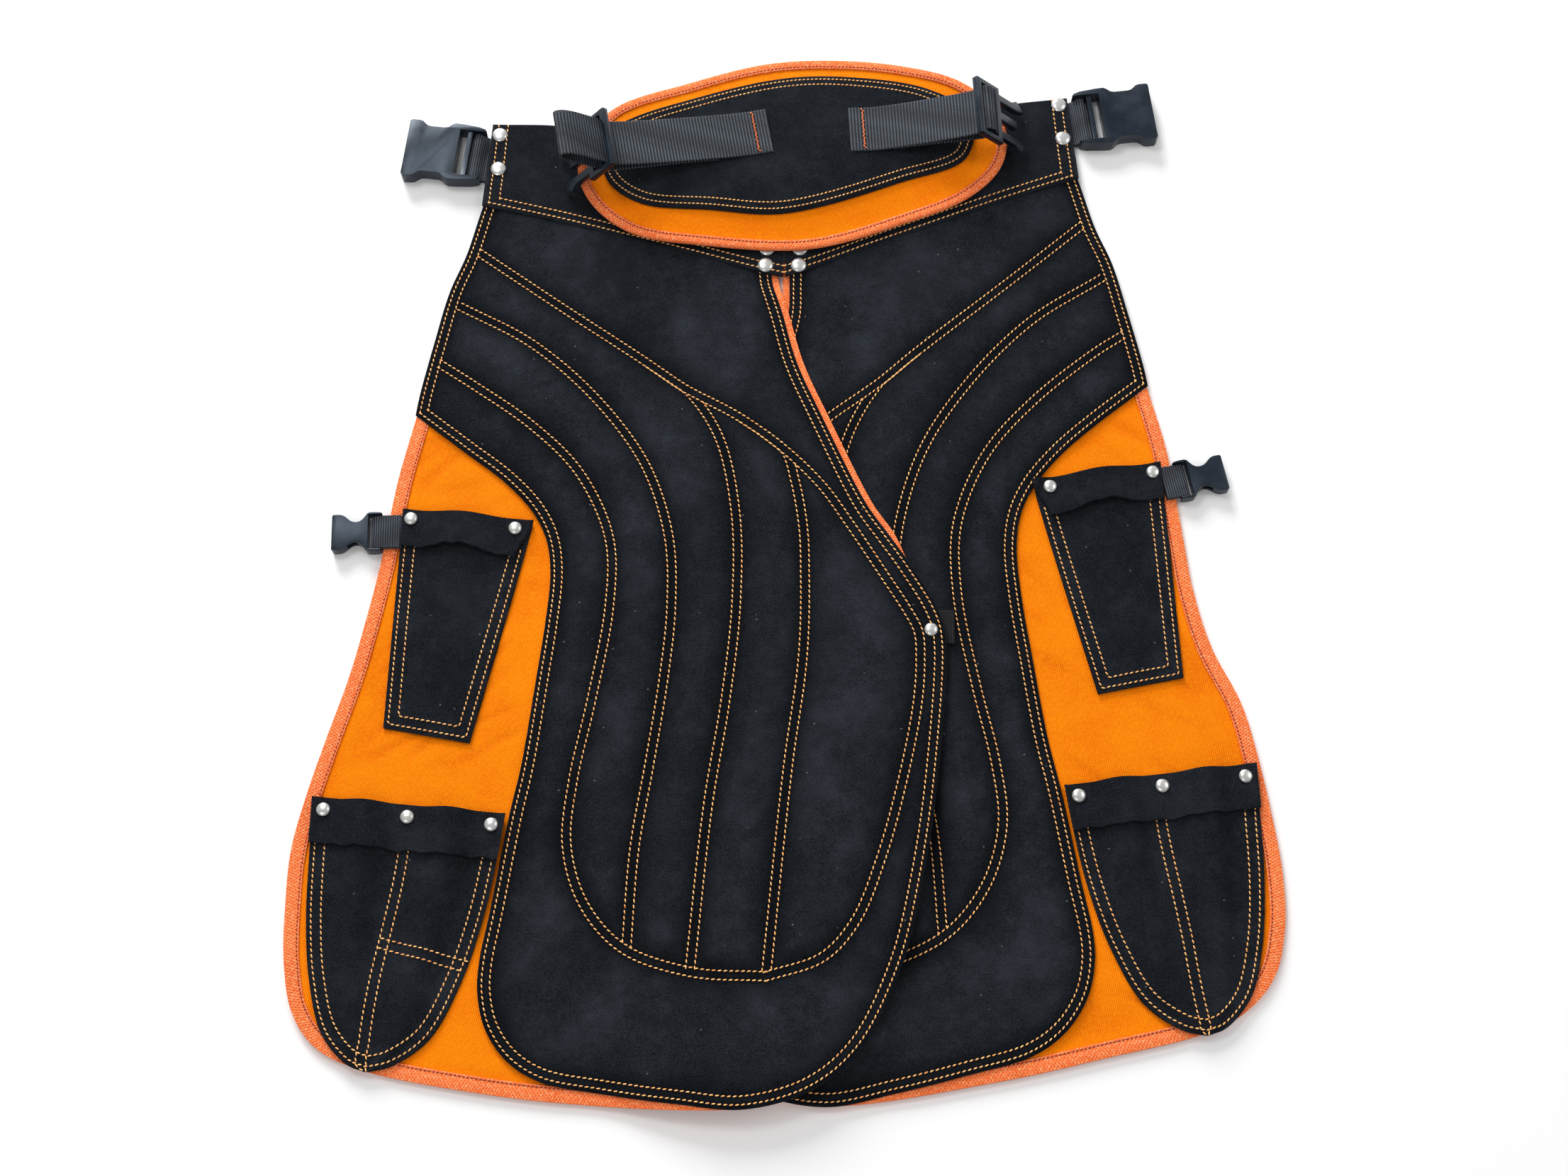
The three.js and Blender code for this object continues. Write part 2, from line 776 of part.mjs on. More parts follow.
function leatherOutline(side) {
  const inner = INNER_EDGE.map((row) => {
    const share = smooth(LEATHER_SHOW.from, LEATHER_SHOW.to, row.up);
    const inset = THREE.MathUtils.lerp(-LEATHER_OVERHANG, LEATHER_SHOW.width, share);
    return { out: row[side] + inset, up: row.up };
  });
  const edges = [THIGH_EDGE, [...SHIN_EDGE, ...inner]];
  return edges.flatMap((rows) => curvePoints(placeRows(side, rows), EDGE_STEP));
}

// A padded channel: a low dome between two quilting seams, sunk into the leather
const CHANNEL_PROFILE = [
  { across: 0, rise: -0.4 },
  { across: 0.28, rise: QUILT_RISE },
  { across: 0.72, rise: QUILT_RISE },
  { across: 1, rise: -0.4 },
  { across: 1, rise: -1 },
  { across: 0, rise: -1 },
];
const CHANNEL_RUN = { start: 0.03, end: 0.96, risen: 0.12, falling: 0.9 };
const CHANNEL_WIDTH = { flat: 8, full: 30, seamShare: 0.3, leastRise: 0.1 };

function channelSwell(along, width) {
  const ends = smooth(0, CHANNEL_RUN.risen, along) * (1 - smooth(CHANNEL_RUN.falling, 1, along));
  return ends * smooth(CHANNEL_WIDTH.flat, CHANNEL_WIDTH.full, width);
}

function channel(side, { from, to, fromStart }) {
  const seam = (name) => {
    const knots = SEAMS[name].map(({ out, up }) => new THREE.Vector3(out, up, 0));
    return new THREE.CatmullRomCurve3(knots, false, "centripetal");
  };
  const a = seam(from);
  const b = seam(to);
  const rings = steps(CHANNEL_STATIONS, CHANNEL_RUN.start, CHANNEL_RUN.end).map((t) => {
    const p = a.getPointAt(THREE.MathUtils.lerp(fromStart, 1, t));
    const q = b.getPointAt(t);
    const width = p.distanceTo(q);
    const margin = Math.min(SEAM_HALF / width, CHANNEL_WIDTH.seamShare);
    const swell = channelSwell(t, width);
    return CHANNEL_PROFILE.map(({ across, rise }) => {
      const share = THREE.MathUtils.lerp(margin, 1 - margin, across);
      const spot = p.clone().lerp(q, share);
      const at = place(side, spot.x, spot.y);
      const high = rise > 0 ? Math.max(CHANNEL_WIDTH.leastRise, rise * swell) : rise;
      return new THREE.Vector3(at.x, at.y, LEATHER_TOP + high + LIE[side](at.x, at.y));
    });
  });
  const flat = CHANNEL_PROFILE.map(({ across, rise }) => new THREE.Vector2(across, rise));
  return toSolid(loft(flat, rings));
}

function leg(side) {
  const canvas = layer(side, canvasOutline(side), CANVAS_BASE, CANVAS);
  add(`leg_canvas_${side}`, toGeometry(canvas), CANVAS_CLOTH);
  add(`leg_binding_${side}`, edgeBand(side, tapeProfile()), TAPE_CLOTH);
  const outline = leatherOutline(side);
  const padding = layer(side, outline, SEWN_BASE + GAP, LEATHER + QUILT_RISE);
  let leather = layer(side, outline, SEWN_BASE, LEATHER).subtract(tapeClearance(side));
  for (const row of CHANNELS) {
    leather = leather.add(channel(side, row).intersect(padding));
  }
  add(`leg_leather_${side}`, toGeometry(leather), SUEDE);
}

// Yoke
function yokeCurve(side, out, up) {
  const rows = YOKE.map((row) => place(side, row[out], row[up]));
  const knots = rows.map((p) => new THREE.Vector3(p.x, p.y, 0));
  return new THREE.CatmullRomCurve3(knots, false, "centripetal");
}

function yoke(side) {
  const lower = yokeCurve(side, "lowOut", "low");
  const upper = yokeCurve(side, "topOut", "top");
  const spot = (u, row) => {
    const p = lower.getPoint(u);
    const q = upper.getPoint(u);
    const strip = THREE.MathUtils.lerp(YOKE_STRIP.centre, YOKE_STRIP.end, u);
    const across = [0, strip, strip + YOKE_STRIP.fall, p.distanceTo(q)][row];
    const at = p.clone().lerp(q, across / p.distanceTo(q));
    const low = row < 2 ? YOKE_SEAM_BASE : YOKE_BASE;
    return { x: at.x, y: at.y, low, high: low + LEATHER };
  };
  add(`yoke_${side}`, sheet(steps(YOKE_SPANS), [0, 1, 2, 3], spot), SUEDE);
}

function yokeTab() {
  const half = YOKE_TAB.width / 2;
  const low = YOKE_BASE - GAP - WEBBING;
  const tab = box(-half, half, YOKE_TAB.low, YOKE_TAB.top, low, low + WEBBING);
  add("yoke_tab", tab, SUEDE);
}

// Pockets
function pocketSides(side, { sections }, rise) {
  const curve = (out, up) => {
    const rows = sections.map((row) => place(side, row[out], row[up] + rise));
    const knots = rows.map((p) => new THREE.Vector3(p.x, p.y, 0));
    return new THREE.CatmullRomCurve3(knots, false, "centripetal");
  };
  return [curve("outerOut", "outerUp"), curve("innerOut", "innerUp")];
}

// How far the front stands off the canvas: a hump over each bay, closing towards the foot
function pocketSwell({ bays, swell }, u, v) {
  const depth = 1 - Math.max(0, v) ** 2;
  return bays.reduce((sum, bay) => {
    const t = THREE.MathUtils.clamp((u - bay.from) / (bay.to - bay.from), 0, 1);
    return sum + swell * depth * 0.5 * (1 - Math.cos(2 * Math.PI * t));
  }, 0);
}

// Plan place on a pocket front; shares below 0 run on past the mouth
function pocketSpot([outer, inner], u, v) {
  const t = THREE.MathUtils.clamp(v, 0, 1);
  const at = outer.getPointAt(t).lerp(inner.getPointAt(t), u);
  const start = outer.getPointAt(0);
  const onwards = start.clone().sub(outer.getPointAt(MOUTH_RUN));
  return at.addScaledVector(onwards, Math.max(0, -v) / MOUTH_RUN);
}

function pocket(name, bandName, side, form, rise) {
  const curves = pocketSides(side, form, rise);
  const us = steps(form.columns);
  const front = (u, v) => {
    const at = pocketSpot(curves, u, v);
    const low = SEWN_BASE + pocketSwell(form, u, v);
    return { x: at.x, y: at.y, low, high: low + POCKET_LEATHER };
  };
  const strip = (u, v) => {
    const at = pocketSpot(curves, u, v);
    const flare = form.bandFlare * smooth(0, form.band, v) * Math.sin(Math.PI * u) ** 2;
    const low = BAND_BASE + pocketSwell(form, u, v) + flare;
    return { x: at.x, y: at.y, low, high: low + POCKET_LEATHER };
  };
  const vs = [0, form.band / 2, form.band, ...steps(form.rows - 2, form.band, 1).slice(1)];
  const around = prism(leatherOutline(side), CANVAS_BASE, BAND_BASE - POCKET_CLEARANCE);
  let body = toSolid(sheet(us, vs, front)).subtract(tapeClearance(side));
  if (LIE[side] === level) body = body.subtract(toSolid(around));
  add(`${name}_${side}`, toGeometry(body), SUEDE);
  add(`${bandName}_${side}`, sheet(us, [-BAND_OVERHANG, form.band / 2, form.band], strip), SUEDE);
  form.rivets.forEach((u, i) => {
    const { x, y, high } = strip(u, RIVET_DEPTH);
    rivet(`rivet_${name}_${side}_${i + 1}`, x, y, high, POCKET_RIVET);
  });
}

// Rivets
function rivet(name, x, y, top, radius) {
  const dome = [
    [0, 0],
    [radius, 0],
    [radius, RIVET_RIM],
    [radius * RIVET_SHOULDER.out, RIVET_RISE * RIVET_SHOULDER.up],
    [0, RIVET_RISE],
  ];
  const profile = dome.map(([r, z]) => new THREE.Vector2(r, z));
  const geometry = new THREE.LatheGeometry(profile, RIVET_SIDES).rotateX(Math.PI / 2);
  add(name, geometry, NICKEL).position.set(x, y, top + GAP);
}

// Back pad
const PAD_STEP = 38;
const PAD_OUTLINE = curvePoints(PAD_EDGE, PAD_STEP, true);

// How far out a point of the pad lies, as a share of the way to the edge
function padShare(x, y) {
  const turn = (a, b) => a.x * b.y - a.y * b.x;
  const p = new THREE.Vector2(x, y);
  for (let i = 0; i < PAD_OUTLINE.length; i += 1) {
    const a = PAD_OUTLINE[i];
    const b = PAD_OUTLINE[(i + 1) % PAD_OUTLINE.length];
    const along = b.clone().sub(a);
    if (turn(a, p) <= 0 && turn(p, b) <= 0) return turn(along, p) / turn(along, a);
  }
  return 0;
}

function padSwell(x, y) {
  return PAD_CROWN * Math.max(0, 1 - (padShare(x, y) / PAD_RIM) ** 2);
}

// A domed plate on an outline, built from rings that shrink to the middle
function plate(outline, rings, low, high) {
  const vertices = [];
  const faces = [];
  const count = outline.length;
  const lid = count * rings.length + 1;
  for (const height of [low, high]) {
    for (const ring of rings) {
      for (const p of outline) {
        vertices.push(p.x * ring, p.y * ring, height(p.x * ring, p.y * ring));
      }
    }
    vertices.push(0, 0, height(0, 0));
  }
  const tip = lid - 1;
  for (let i = 0; i < count; i += 1) {
    const n = (i + 1) % count;
    for (let r = 0; r + 1 < rings.length; r += 1) {
      const [a, b] = [r * count + i, r * count + n];
      const [c, d] = [a + count, b + count];
      faces.push([a, c, b], [b, c, d]);
      faces.push([lid + a, lid + b, lid + c], [lid + b, lid + d, lid + c]);
    }
    const last = (rings.length - 1) * count;
    faces.push([last + i, tip, last + n], [lid + last + i, lid + last + n, lid + tip]);
    faces.push([i, n, lid + n], [i, lid + n, lid + i]);
  }
  return closedGeometry(vertices, faces);
}

function loopInwards(points, distance) {
  const count = points.length;
  return points.map((p, i) => {
    const run = points[(i + 1) % count].clone().sub(points[(i + count - 1) % count]).normalize();
    return new THREE.Vector2(p.x + run.y * distance, p.y - run.x * distance);
  });
}

function backPad() {
  const pad = new THREE.Group();
  pad.position.set(PAD_CENTRE.x, PAD_CENTRE.y, PAD_BASE);
  apron.add(pad);
  const tape = tapeProfile();
  const bands = tape.map((corner) => loopInwards(PAD_OUTLINE, corner.x));
  const rings = PAD_OUTLINE.map((_, i) =>
    tape.map((corner, k) => new THREE.Vector3(bands[k][i].x, bands[k][i].y, corner.y)),
  );
  add("pad_binding", loft(tape, rings, true), TAPE_CLOTH, pad);
  const top = (x, y) => CANVAS_TOP + padSwell(x, y);
  const edge = loopInwards(PAD_OUTLINE, TAPE + GAP);
  add("pad_body", plate(edge, PAD_RINGS, () => CANVAS_BASE, top), CANVAS_CLOTH, pad);
  const seat = (x, y) => top(x, y) + 2 * GAP;
  const lens = curvePoints(PAD_LENS, PAD_STEP, true);
  const leather = plate(lens, LENS_RINGS, seat, (x, y) => seat(x, y) + PAD_LEATHER);
  add("pad_leather", leather, SUEDE, pad);
}

// A strip of webbing along a route in its own upright plane, level across its width
function webbingStrip(route, width) {
  const knots = route.map(({ along, high }) => new THREE.Vector3(along, 0, high));
  const curve = new THREE.CatmullRomCurve3(knots, false, "centripetal");
  const half = WEBBING / 2;
  const profile = [
    new THREE.Vector2(-half, -width / 2),
    new THREE.Vector2(half, -width / 2),
    new THREE.Vector2(half, width / 2),
    new THREE.Vector2(-half, width / 2),
  ];
  const rings = steps(route.length - 1).map((t) => {
    const at = curve.getPoint(t);
    const run = curve.getTangent(t);
    return profile.map((c) => new THREE.Vector3(at.x - run.z * c.x, c.y, at.z + run.x * c.x));
  });
  return loft(profile, rings);
}

// Socket half of a side release buckle: mouth outwards, bar for the webbing at its inner end
function socketBody({ webbing, length, half, height, inset, mouth, window, bar, grip, plan }) {
  const at = (share) => inset + length * (1 - share);
  const upper = plan.map(({ share, breadth }) => new THREE.Vector2(at(share), half * breadth));
  const lower = upper.map((p) => new THREE.Vector2(p.x, -p.y)).reverse();
  const slot = webbing / 2 + SLOT_PLAY;
  const wall = SOCKET_WALL;
  const top = height + 1;
  const [barFrom, barTo] = [at(bar.to), at(bar.from)];
  const cuts = [
    box(at(SOCKET_CAVITY), at(0) + 1, -mouth, mouth, wall, height - wall),
    box(barTo, at(window), -slot, slot, -1, top),
    box(at(1) - 1, barFrom, -slot, slot, -1, top),
    box(barFrom - 1, barTo + 1, -slot, slot, -1, height * SOCKET_BAR.low),
    box(barFrom - 1, barTo + 1, -slot, slot, height * SOCKET_BAR.high, top),
  ];
  let body = toSolid(prism([...upper, ...lower], 0, height));
  for (const cut of cuts) body = body.subtract(toSolid(cut));
  if (grip) {
    const reach = slot + GAP;
    const ridge = box(at(grip.to), at(grip.from), -reach, reach, height * grip.low, height * grip.high);
    body = body.add(toSolid(ridge));
  }
  return toGeometry(body);
}

function socket({ kind, side, x, y, turn }) {
  const seat = new THREE.Group();
  const angle = THREE.MathUtils.degToRad(turn);
  seat.position.set(x, y, 0);
  seat.rotation.z = side === "left" ? Math.PI - angle : angle;
  apron.add(seat);
  const webbing = webbingStrip(WEBBING_ROUTES[kind], SOCKETS[kind].webbing);
  add(`${kind}_webbing_${side}`, webbing, WEBBING_CLOTH, seat);
  add(`${kind}_socket_${side}`, socketBody(SOCKETS[kind]), ACETAL, seat);
}

// Plug half: slotted frame for the webbing, two sprung prongs and a tongue
function plugBody() {
  const upper = [
    [PLUG.tail, PLUG.half],
    [PLUG.body, PLUG.half],
    [PLUG.body, PLUG.prongTo],
    [PLUG.barbFrom, PLUG.prongTo],
    [PLUG.barbAt, PLUG.barb],
    [PLUG.tip, PLUG.tipAt],
    [PLUG.barbAt, PLUG.prongFrom],
    [PLUG.body, PLUG.prongFrom],
    [PLUG.body, PLUG.tongueHalf],
    [PLUG.tongueTip, PLUG.tongueHalf],
  ].map(([x, y]) => new THREE.Vector2(x, y));
  const lower = upper.map((p) => new THREE.Vector2(p.x, -p.y)).reverse();
  const half = PLUG_THICK / 2;
  let body = toSolid(prism([...upper, ...lower], -half, half));
  for (const { from, to } of PLUG.slots) {
    const slot = box(from, to, -PLUG.slotHalf, PLUG.slotHalf, -half - 1, half + 1);
    body = body.subtract(toSolid(slot));
  }
  return toGeometry(body);
}

// Height of the pad under the inner end of a strap
function strapSeat({ x, y, heading }) {
  const turn = THREE.MathUtils.degToRad(heading);
  const swells = steps(STRAP_PROBES, -WAIST_WEBBING_WIDTH / 2, WAIST_WEBBING_WIDTH / 2).map((across) => {
    const spotX = x - PAD_CENTRE.x - across * Math.sin(turn);
    const spotY = y - PAD_CENTRE.y + across * Math.cos(turn);
    return padSwell(spotX, spotY);
  });
  return PAD_BASE + CANVAS_TOP + 2 * GAP + PAD_LEATHER + Math.max(...swells);
}

function padStrap({ side, x, y, heading, reach }) {
  const seat = new THREE.Group();
  seat.position.set(x, y, 0);
  seat.rotation.z = THREE.MathUtils.degToRad(heading);
  apron.add(seat);
  const sewn = strapSeat({ x, y, heading }) + GAP + WEBBING / 2;
  const [cos, sin] = [Math.cos(PLUG_PITCH), Math.sin(PLUG_PITCH)];
  const inPlug = ({ along, above }) => ({
    along: reach + along * cos + above * sin,
    high: PLUG_HEIGHT - along * sin + above * cos,
  });
  const route = [
    { along: 0, high: sewn },
    { along: STRAP_SEWN, high: sewn },
    ...PLUG_ROUTES[side].map(inPlug),
    ...STRAP_TAIL.map(({ share, high }) => ({ along: share * reach, high })),
  ];
  add(`pad_strap_${side}`, webbingStrip(route, WAIST_WEBBING_WIDTH), WEBBING_CLOTH, seat);
  const plug = add(`pad_plug_${side}`, plugBody(), ACETAL, seat);
  plug.position.set(reach, 0, PLUG_HEIGHT);
  plug.rotation.y = PLUG_PITCH;
}

function thighTab() {
  const { x, y, length } = THIGH_TAB;
  const half = THIGH_WEBBING_WIDTH / 2;
  const top = LEG_LIFT - GAP;
  add("thigh_tab", box(x, x + length, y - half, y + half, top - WEBBING, top), WEBBING_CLOTH);
}

for (const side of Object.keys(SIDES)) {
  leg(side);
  yoke(side);
  pocket("knife_pocket", "knife_band", side, KNIFE_POCKET, SIDES[side].pocketRise);
  pocket("tool_pouch", "pouch_band", side, TOOL_POUCH, 0);
}
yokeTab();
backPad();
SOCKET_SEATS.forEach(socket);
STRAPS.forEach(padStrap);
thighTab();
for (const { name, x, y, top } of YOKE_RIVETS) rivet(name, x, y, top, WAIST_RIVET);
rivet(THIGH_RIVET.name, THIGH_RIVET.x, THIGH_RIVET.y, THIGH_RIVET.top, POCKET_RIVET);

// The origin is on the surface below, at the middle of the footprint
const bounds = new THREE.Box3().setFromObject(apron);
const middle = bounds.getCenter(new THREE.Vector3());
apron.position.set(-middle.x, -middle.y, -bounds.min.z);

export default apron;
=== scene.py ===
"""Farrier apron laid open on a pale floor: suede, canvas, tape, webbing, buckles and rivets."""

import logging
import math
from dataclasses import dataclass
from enum import Enum
from typing import Callable, Optional, Sequence

import bmesh
import bpy
import numpy as np
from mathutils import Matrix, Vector, noise
from mathutils.geometry import delaunay_2d_cdt


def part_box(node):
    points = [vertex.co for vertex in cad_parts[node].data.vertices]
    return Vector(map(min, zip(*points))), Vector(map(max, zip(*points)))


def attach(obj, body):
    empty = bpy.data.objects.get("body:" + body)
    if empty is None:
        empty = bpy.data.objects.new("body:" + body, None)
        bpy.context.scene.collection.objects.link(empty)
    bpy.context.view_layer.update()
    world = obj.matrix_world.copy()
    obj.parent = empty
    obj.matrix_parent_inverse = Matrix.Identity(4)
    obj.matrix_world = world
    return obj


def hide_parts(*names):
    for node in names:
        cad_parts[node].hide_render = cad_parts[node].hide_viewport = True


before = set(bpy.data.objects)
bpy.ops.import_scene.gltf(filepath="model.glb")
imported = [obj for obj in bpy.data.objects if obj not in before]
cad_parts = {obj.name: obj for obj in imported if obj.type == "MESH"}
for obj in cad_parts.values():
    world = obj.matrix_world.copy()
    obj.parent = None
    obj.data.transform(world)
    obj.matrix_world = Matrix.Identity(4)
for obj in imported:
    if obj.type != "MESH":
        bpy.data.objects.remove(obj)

Array = np.ndarray
Object = bpy.types.Object
Material = bpy.types.Material
Node = bpy.types.Node
Tree = bpy.types.NodeTree
Height = Callable[[Array], Array]

LOG = logging.getLogger("apron")
MM = 0.001
FULL_TURN = 6.2832
# Points closer than this many metres are one
TOUCHING = 1e-6

# Material thicknesses and levels of the layers, in millimetres above the floor
GAP = 0.3
TAPE = 1.0
TAPE_WIDTH = 10.5
CANVAS = 1.2
LEATHER = 2.4
POCKET_LEATHER = 2.0
WEBBING = 1.6
FINE_RIB = 1.7
QUILT_RISE = 3.2
CANVAS_BASE = TAPE + GAP
CANVAS_TOP = CANVAS_BASE + CANVAS
SEWN_BASE = CANVAS_TOP + GAP
TAPE_TOP = SEWN_BASE + TAPE
LEATHER_TOP = SEWN_BASE + LEATHER
YOKE_SEAM_BASE = LEATHER_TOP + GAP
YOKE_BASE = 2 * WEBBING + 3 * GAP
YOKE_SEAM_TOP = YOKE_SEAM_BASE + LEATHER
RIVET_RISE = 2.2
PAD_BASE = YOKE_SEAM_TOP + RIVET_RISE + 2 * GAP
# Rim of a rivet and the seat of its dome, in metres
RIVET_RIM = 0.0007
RIVET_SEAT = 0.0006

# Sewing, in millimetres
STITCH_PITCH = 3.9
ROW_HALF = 3.0
EDGE_ROWS = (3.1, 8.6)
EDGE_GUIDES = (3.2, 6.0, 8.8)
SEAM_GUIDES = (-6.5, -ROW_HALF, 0.0, ROW_HALF, 6.5)
POCKET_ROWS = (3.4, 10.2)
LENS_ROWS = (3.6, 8.8)
STITCH_RISE = 0.15
STITCH_FILL = 0.82
THREAD_WIDTH = 1.12
THREAD_HEIGHT = 1.05
# Tape stitches as (pitch, width of the thread), and the length of a pucker between them
TAPE_STITCH = (2.9, 0.95)
PUCKER = 5.0

# Outer edge and hem of a leg as (out from the centre line, up from the middle, tuck of the right leg)
HEM_EDGE = (
    (267, 152, 0), (272, 130, 0), (282, 82, 0), (291, 15, 2.2), (298.5, -26, 5.6), (308, -70, 5.2),
    (320, -112, -0.4), (331, -153, 2), (339, -193, 4.5), (340, -230, 2), (338, -270, 1.5), (330, -304, 3.5),
    (313, -327, 7), (284, -341, 5), (209, -356, 0), (140, -364, 0), (26, -368, 0),
)
# Inner edge as (up, out on the left, out on the right)
INNER_EDGE = (
    (-356, -18, -18), (-329, -50, -50), (-274, -78, -78), (-212, -94, -94), (-136, -106, -106),
    (-43, -113, -113), (-22, -108, -108), (12, -90, -90), (36, -79.5, -79.5), (60, -64, -64),
    (132, -31.5, -30), (174, -14.5, -14), (214, -4, -2), (241, 3.4, -0.8), (261, 5.5, -0.8),
)
# Edges of the suede as (out, up)
THIGH_EDGE = ((226, 323), (231, 307), (241, 267), (252, 236), (261, 195), (270, 149), (272, 134))
SHIN_EDGE = (
    (272, 134), (232, 103), (204, 81), (183, 58), (172, 36), (168, 10), (170, -29), (175, -71), (183, -133),
    (190, -170), (200, -235), (206, -272), (206, -292), (200, -315), (185, -336), (162, -350), (120, -358),
    (73, -365), (26, -369),
)
LEATHER_SHOW = 5.0
SHOW_RUN = (4.0, 40.0)
LEATHER_OVERHANG = 1.5
CANVAS_INSET = 6.0
# Quilting seams from the thigh to the foot; the third and fourth branch off below the brow
SEAMS = {
    "brow": (
        (233, 270), (165, 221), (100, 175), (73, 154), (30, 126), (0, 102), (-28, 72.5), (-47, 44),
        (-72.5, 2.5), (-87.5, -22.5), (-95, -38.5), (-96, -59), (-93.5, -90), (-82, -146), (-66, -202),
        (-48, -245), (-26, -269), (12, -282),
    ),
    "outer": (
        (257, 176), (233, 160), (185, 125), (149, 87), (126, 35), (124, -19), (135, -90), (146, -146),
        (149, -191), (136, -232), (108, -263), (63, -279), (12, -282),
    ),
    "second": (
        (243, 223), (188, 192), (139, 147), (103, 96), (83, 35), (80, -19), (84, -70), (93, -135),
        (102, -195), (106, -264),
    ),
    "third": (
        (100, 175), (73, 154), (48, 113), (35, 53), (34, -19), (41, -90), (52, -163), (63, -278),
    ),
    "fourth": (
        (30, 126), (0, 102), (-8, 77), (-14, 39), (-15, 5), (-14.5, -36), (-12, -70), (-3, -135),
        (12, -282),
    ),
}
BRANCHES = ("third", "fourth")
# Climb of the left leg over the right one as (from up, to up, lift)
CLIMB_WIDTH = 85.0
CLIMB = ((247, 227, LEATHER_TOP + GAP), (214, 90, QUILT_RISE + WEBBING + GAP))
LEG_LIFT = sum(lift for _, _, lift in CLIMB)
RISE_REACH = 230.0

# Waviness of the lying leather as (height, size, place in the noise)
LEG_WAVES = ((0.55, 60.0, 1.7), (0.25, 17.0, 4.1))
YOKE_WAVES = ((0.35, 45.0, 5.5),)
POCKET_WAVES = ((0.3, 14.0, 9.1), (0.3, 38.0, 3.7))
# Lower left and upper right corner of the tab behind the yoke's gap
TAB_LOW = (-24.0, 271.0)
TAB_HIGH = (24.0, 312.0)

# Crown value of a piece that is neither raised nor creased. The suede finish paints light on higher crown
# values and shade on lower ones, and the cloth finish paints shade below this value
EVEN_CROWN = 0.6


class Side(Enum):
    """The sides of the apron as it lies, as (sign of x, rise, lean, more rise of the knife pocket)."""

    LEFT = (-1.0, 0.0, 0.0, 0.0)
    RIGHT = (1.0, 24.0, -0.0145, 13.0)

    @property
    def word(self) -> str:
        """The side's name as the nodes spell it."""
        return self.name.lower()

    def place(self, knots: Sequence) -> Array:
        """Turns (out, up) knots of a leg into plan points of this side.

        Args:
            knots: pairs of out and up in millimetres.

        Returns:
            Plan points in millimetres, one row each.
        """
        table = np.asarray(knots, float)
        sign, rise, lean, _ = self.value
        share = np.clip(table[:, 0] / RISE_REACH, 0.0, 1.0)
        out, up = table.T
        return np.column_stack([sign * out + lean * up * share, up + rise * share])


def smoothstep(low: float, high: float, value: Array) -> Array:
    """Smooth ramp from 0 at low to 1 at high."""
    t = np.clip((np.asarray(value, float) - low) / (high - low), 0.0, 1.0)
    return t * t * (3.0 - 2.0 * t)


def curve_through(knots: Sequence, loop: bool = False, per: int = 24) -> Array:
    """Samples a centripetal Catmull-Rom curve.

    Args:
        knots: points that the curve passes through.
        loop: whether it closes on itself.
        per: samples for each span.

    Returns:
        The sampled points.
    """
    points = np.asarray(knots, float)
    if loop:
        ring = np.vstack([points[-1:], points, points[:2]])
    else:
        ring = np.vstack([2 * points[0] - points[1], points, 2 * points[-1] - points[-2]])
    t = np.linspace(0.0, 1.0, per, endpoint=False)[:, None]
    spans = []
    for p0, p1, p2, p3 in zip(ring[:-3], ring[1:-2], ring[2:-1], ring[3:]):
        pairs = ((p0, p1), (p1, p2), (p2, p3))
        d0, d1, d2 = (max(float(np.linalg.norm(b - a)), 1e-9) ** 0.5 for a, b in pairs)
        m1 = ((p1 - p0) / d0 - (p2 - p0) / (d0 + d1) + (p2 - p1) / d1) * d1
        m2 = ((p2 - p1) / d1 - (p3 - p1) / (d1 + d2) + (p3 - p2) / d2) * d1
        spans.append(
            (2 * t**3 - 3 * t**2 + 1) * p1 + (t**3 - 2 * t**2 + t) * m1
            + (3 * t**2 - 2 * t**3) * p2 + (t**3 - t**2) * m2
        )
    if not loop:
        spans.append(points[-1:])
    return np.vstack(spans)


def resample(points: Array, step: float, loop: bool = False) -> Array:
    """Evenly spaced points along a polyline, about step apart."""
    line = np.vstack([points, points[:1]]) if loop else points
    length = lengths(line)
    count = max(2, int(round(length[-1] / step)))
    at = np.linspace(0.0, length[-1], count + 1)
    spaced = np.column_stack([np.interp(at, length, line[:, k]) for k in range(line.shape[1])])
    return spaced[:-1] if loop else spaced


def lengths(points: Array) -> Array:
    """Distance of each point of a polyline from its start."""
    return np.concatenate([[0.0], np.cumsum(np.linalg.norm(np.diff(points, axis=0), axis=1))])


def pick(line: Array, at: Array) -> Array:
    """Plan points at fractional places in a row of points."""
    return np.column_stack([np.interp(at, np.arange(len(line)), line[:, k]) for k in (0, 1)])


def path_normals(points: Array, loop: bool = False) -> Array:
    """Unit plan normals on the left of the direction of travel."""
    if loop:
        run = np.roll(points, -1, axis=0) - np.roll(points, 1, axis=0)
    else:
        run = np.gradient(points, axis=0)
    run = run[:, :2] / np.maximum(np.linalg.norm(run[:, :2], axis=1, keepdims=True), 1e-9)
    return np.column_stack([-run[:, 1], run[:, 0]])


def inside(polygon: Array, points: Array) -> Array:
    """Whether each plan point lies in the polygon."""
    hit = np.zeros(len(points), bool)
    x, y = points[:, 0], points[:, 1]
    for (ax, ay), (bx, by) in zip(polygon, np.roll(polygon, -1, axis=0)):
        if ay != by:
            hit ^= ((ay > y) != (by > y)) & (x < (bx - ax) * (y - ay) / (by - ay) + ax)
    return hit


def distance_to(line: Array, points: Array) -> Array:
    """Distance from each plan point to the nearest of many closely spaced line points."""
    best = np.full(len(points), 1e9)
    for part in np.array_split(line, max(1, len(line) // 400)):
        gap = ((points[:, None, :] - part[None, :, :]) ** 2).sum(axis=2)
        best = np.minimum(best, gap.min(axis=1))
    return np.sqrt(best)


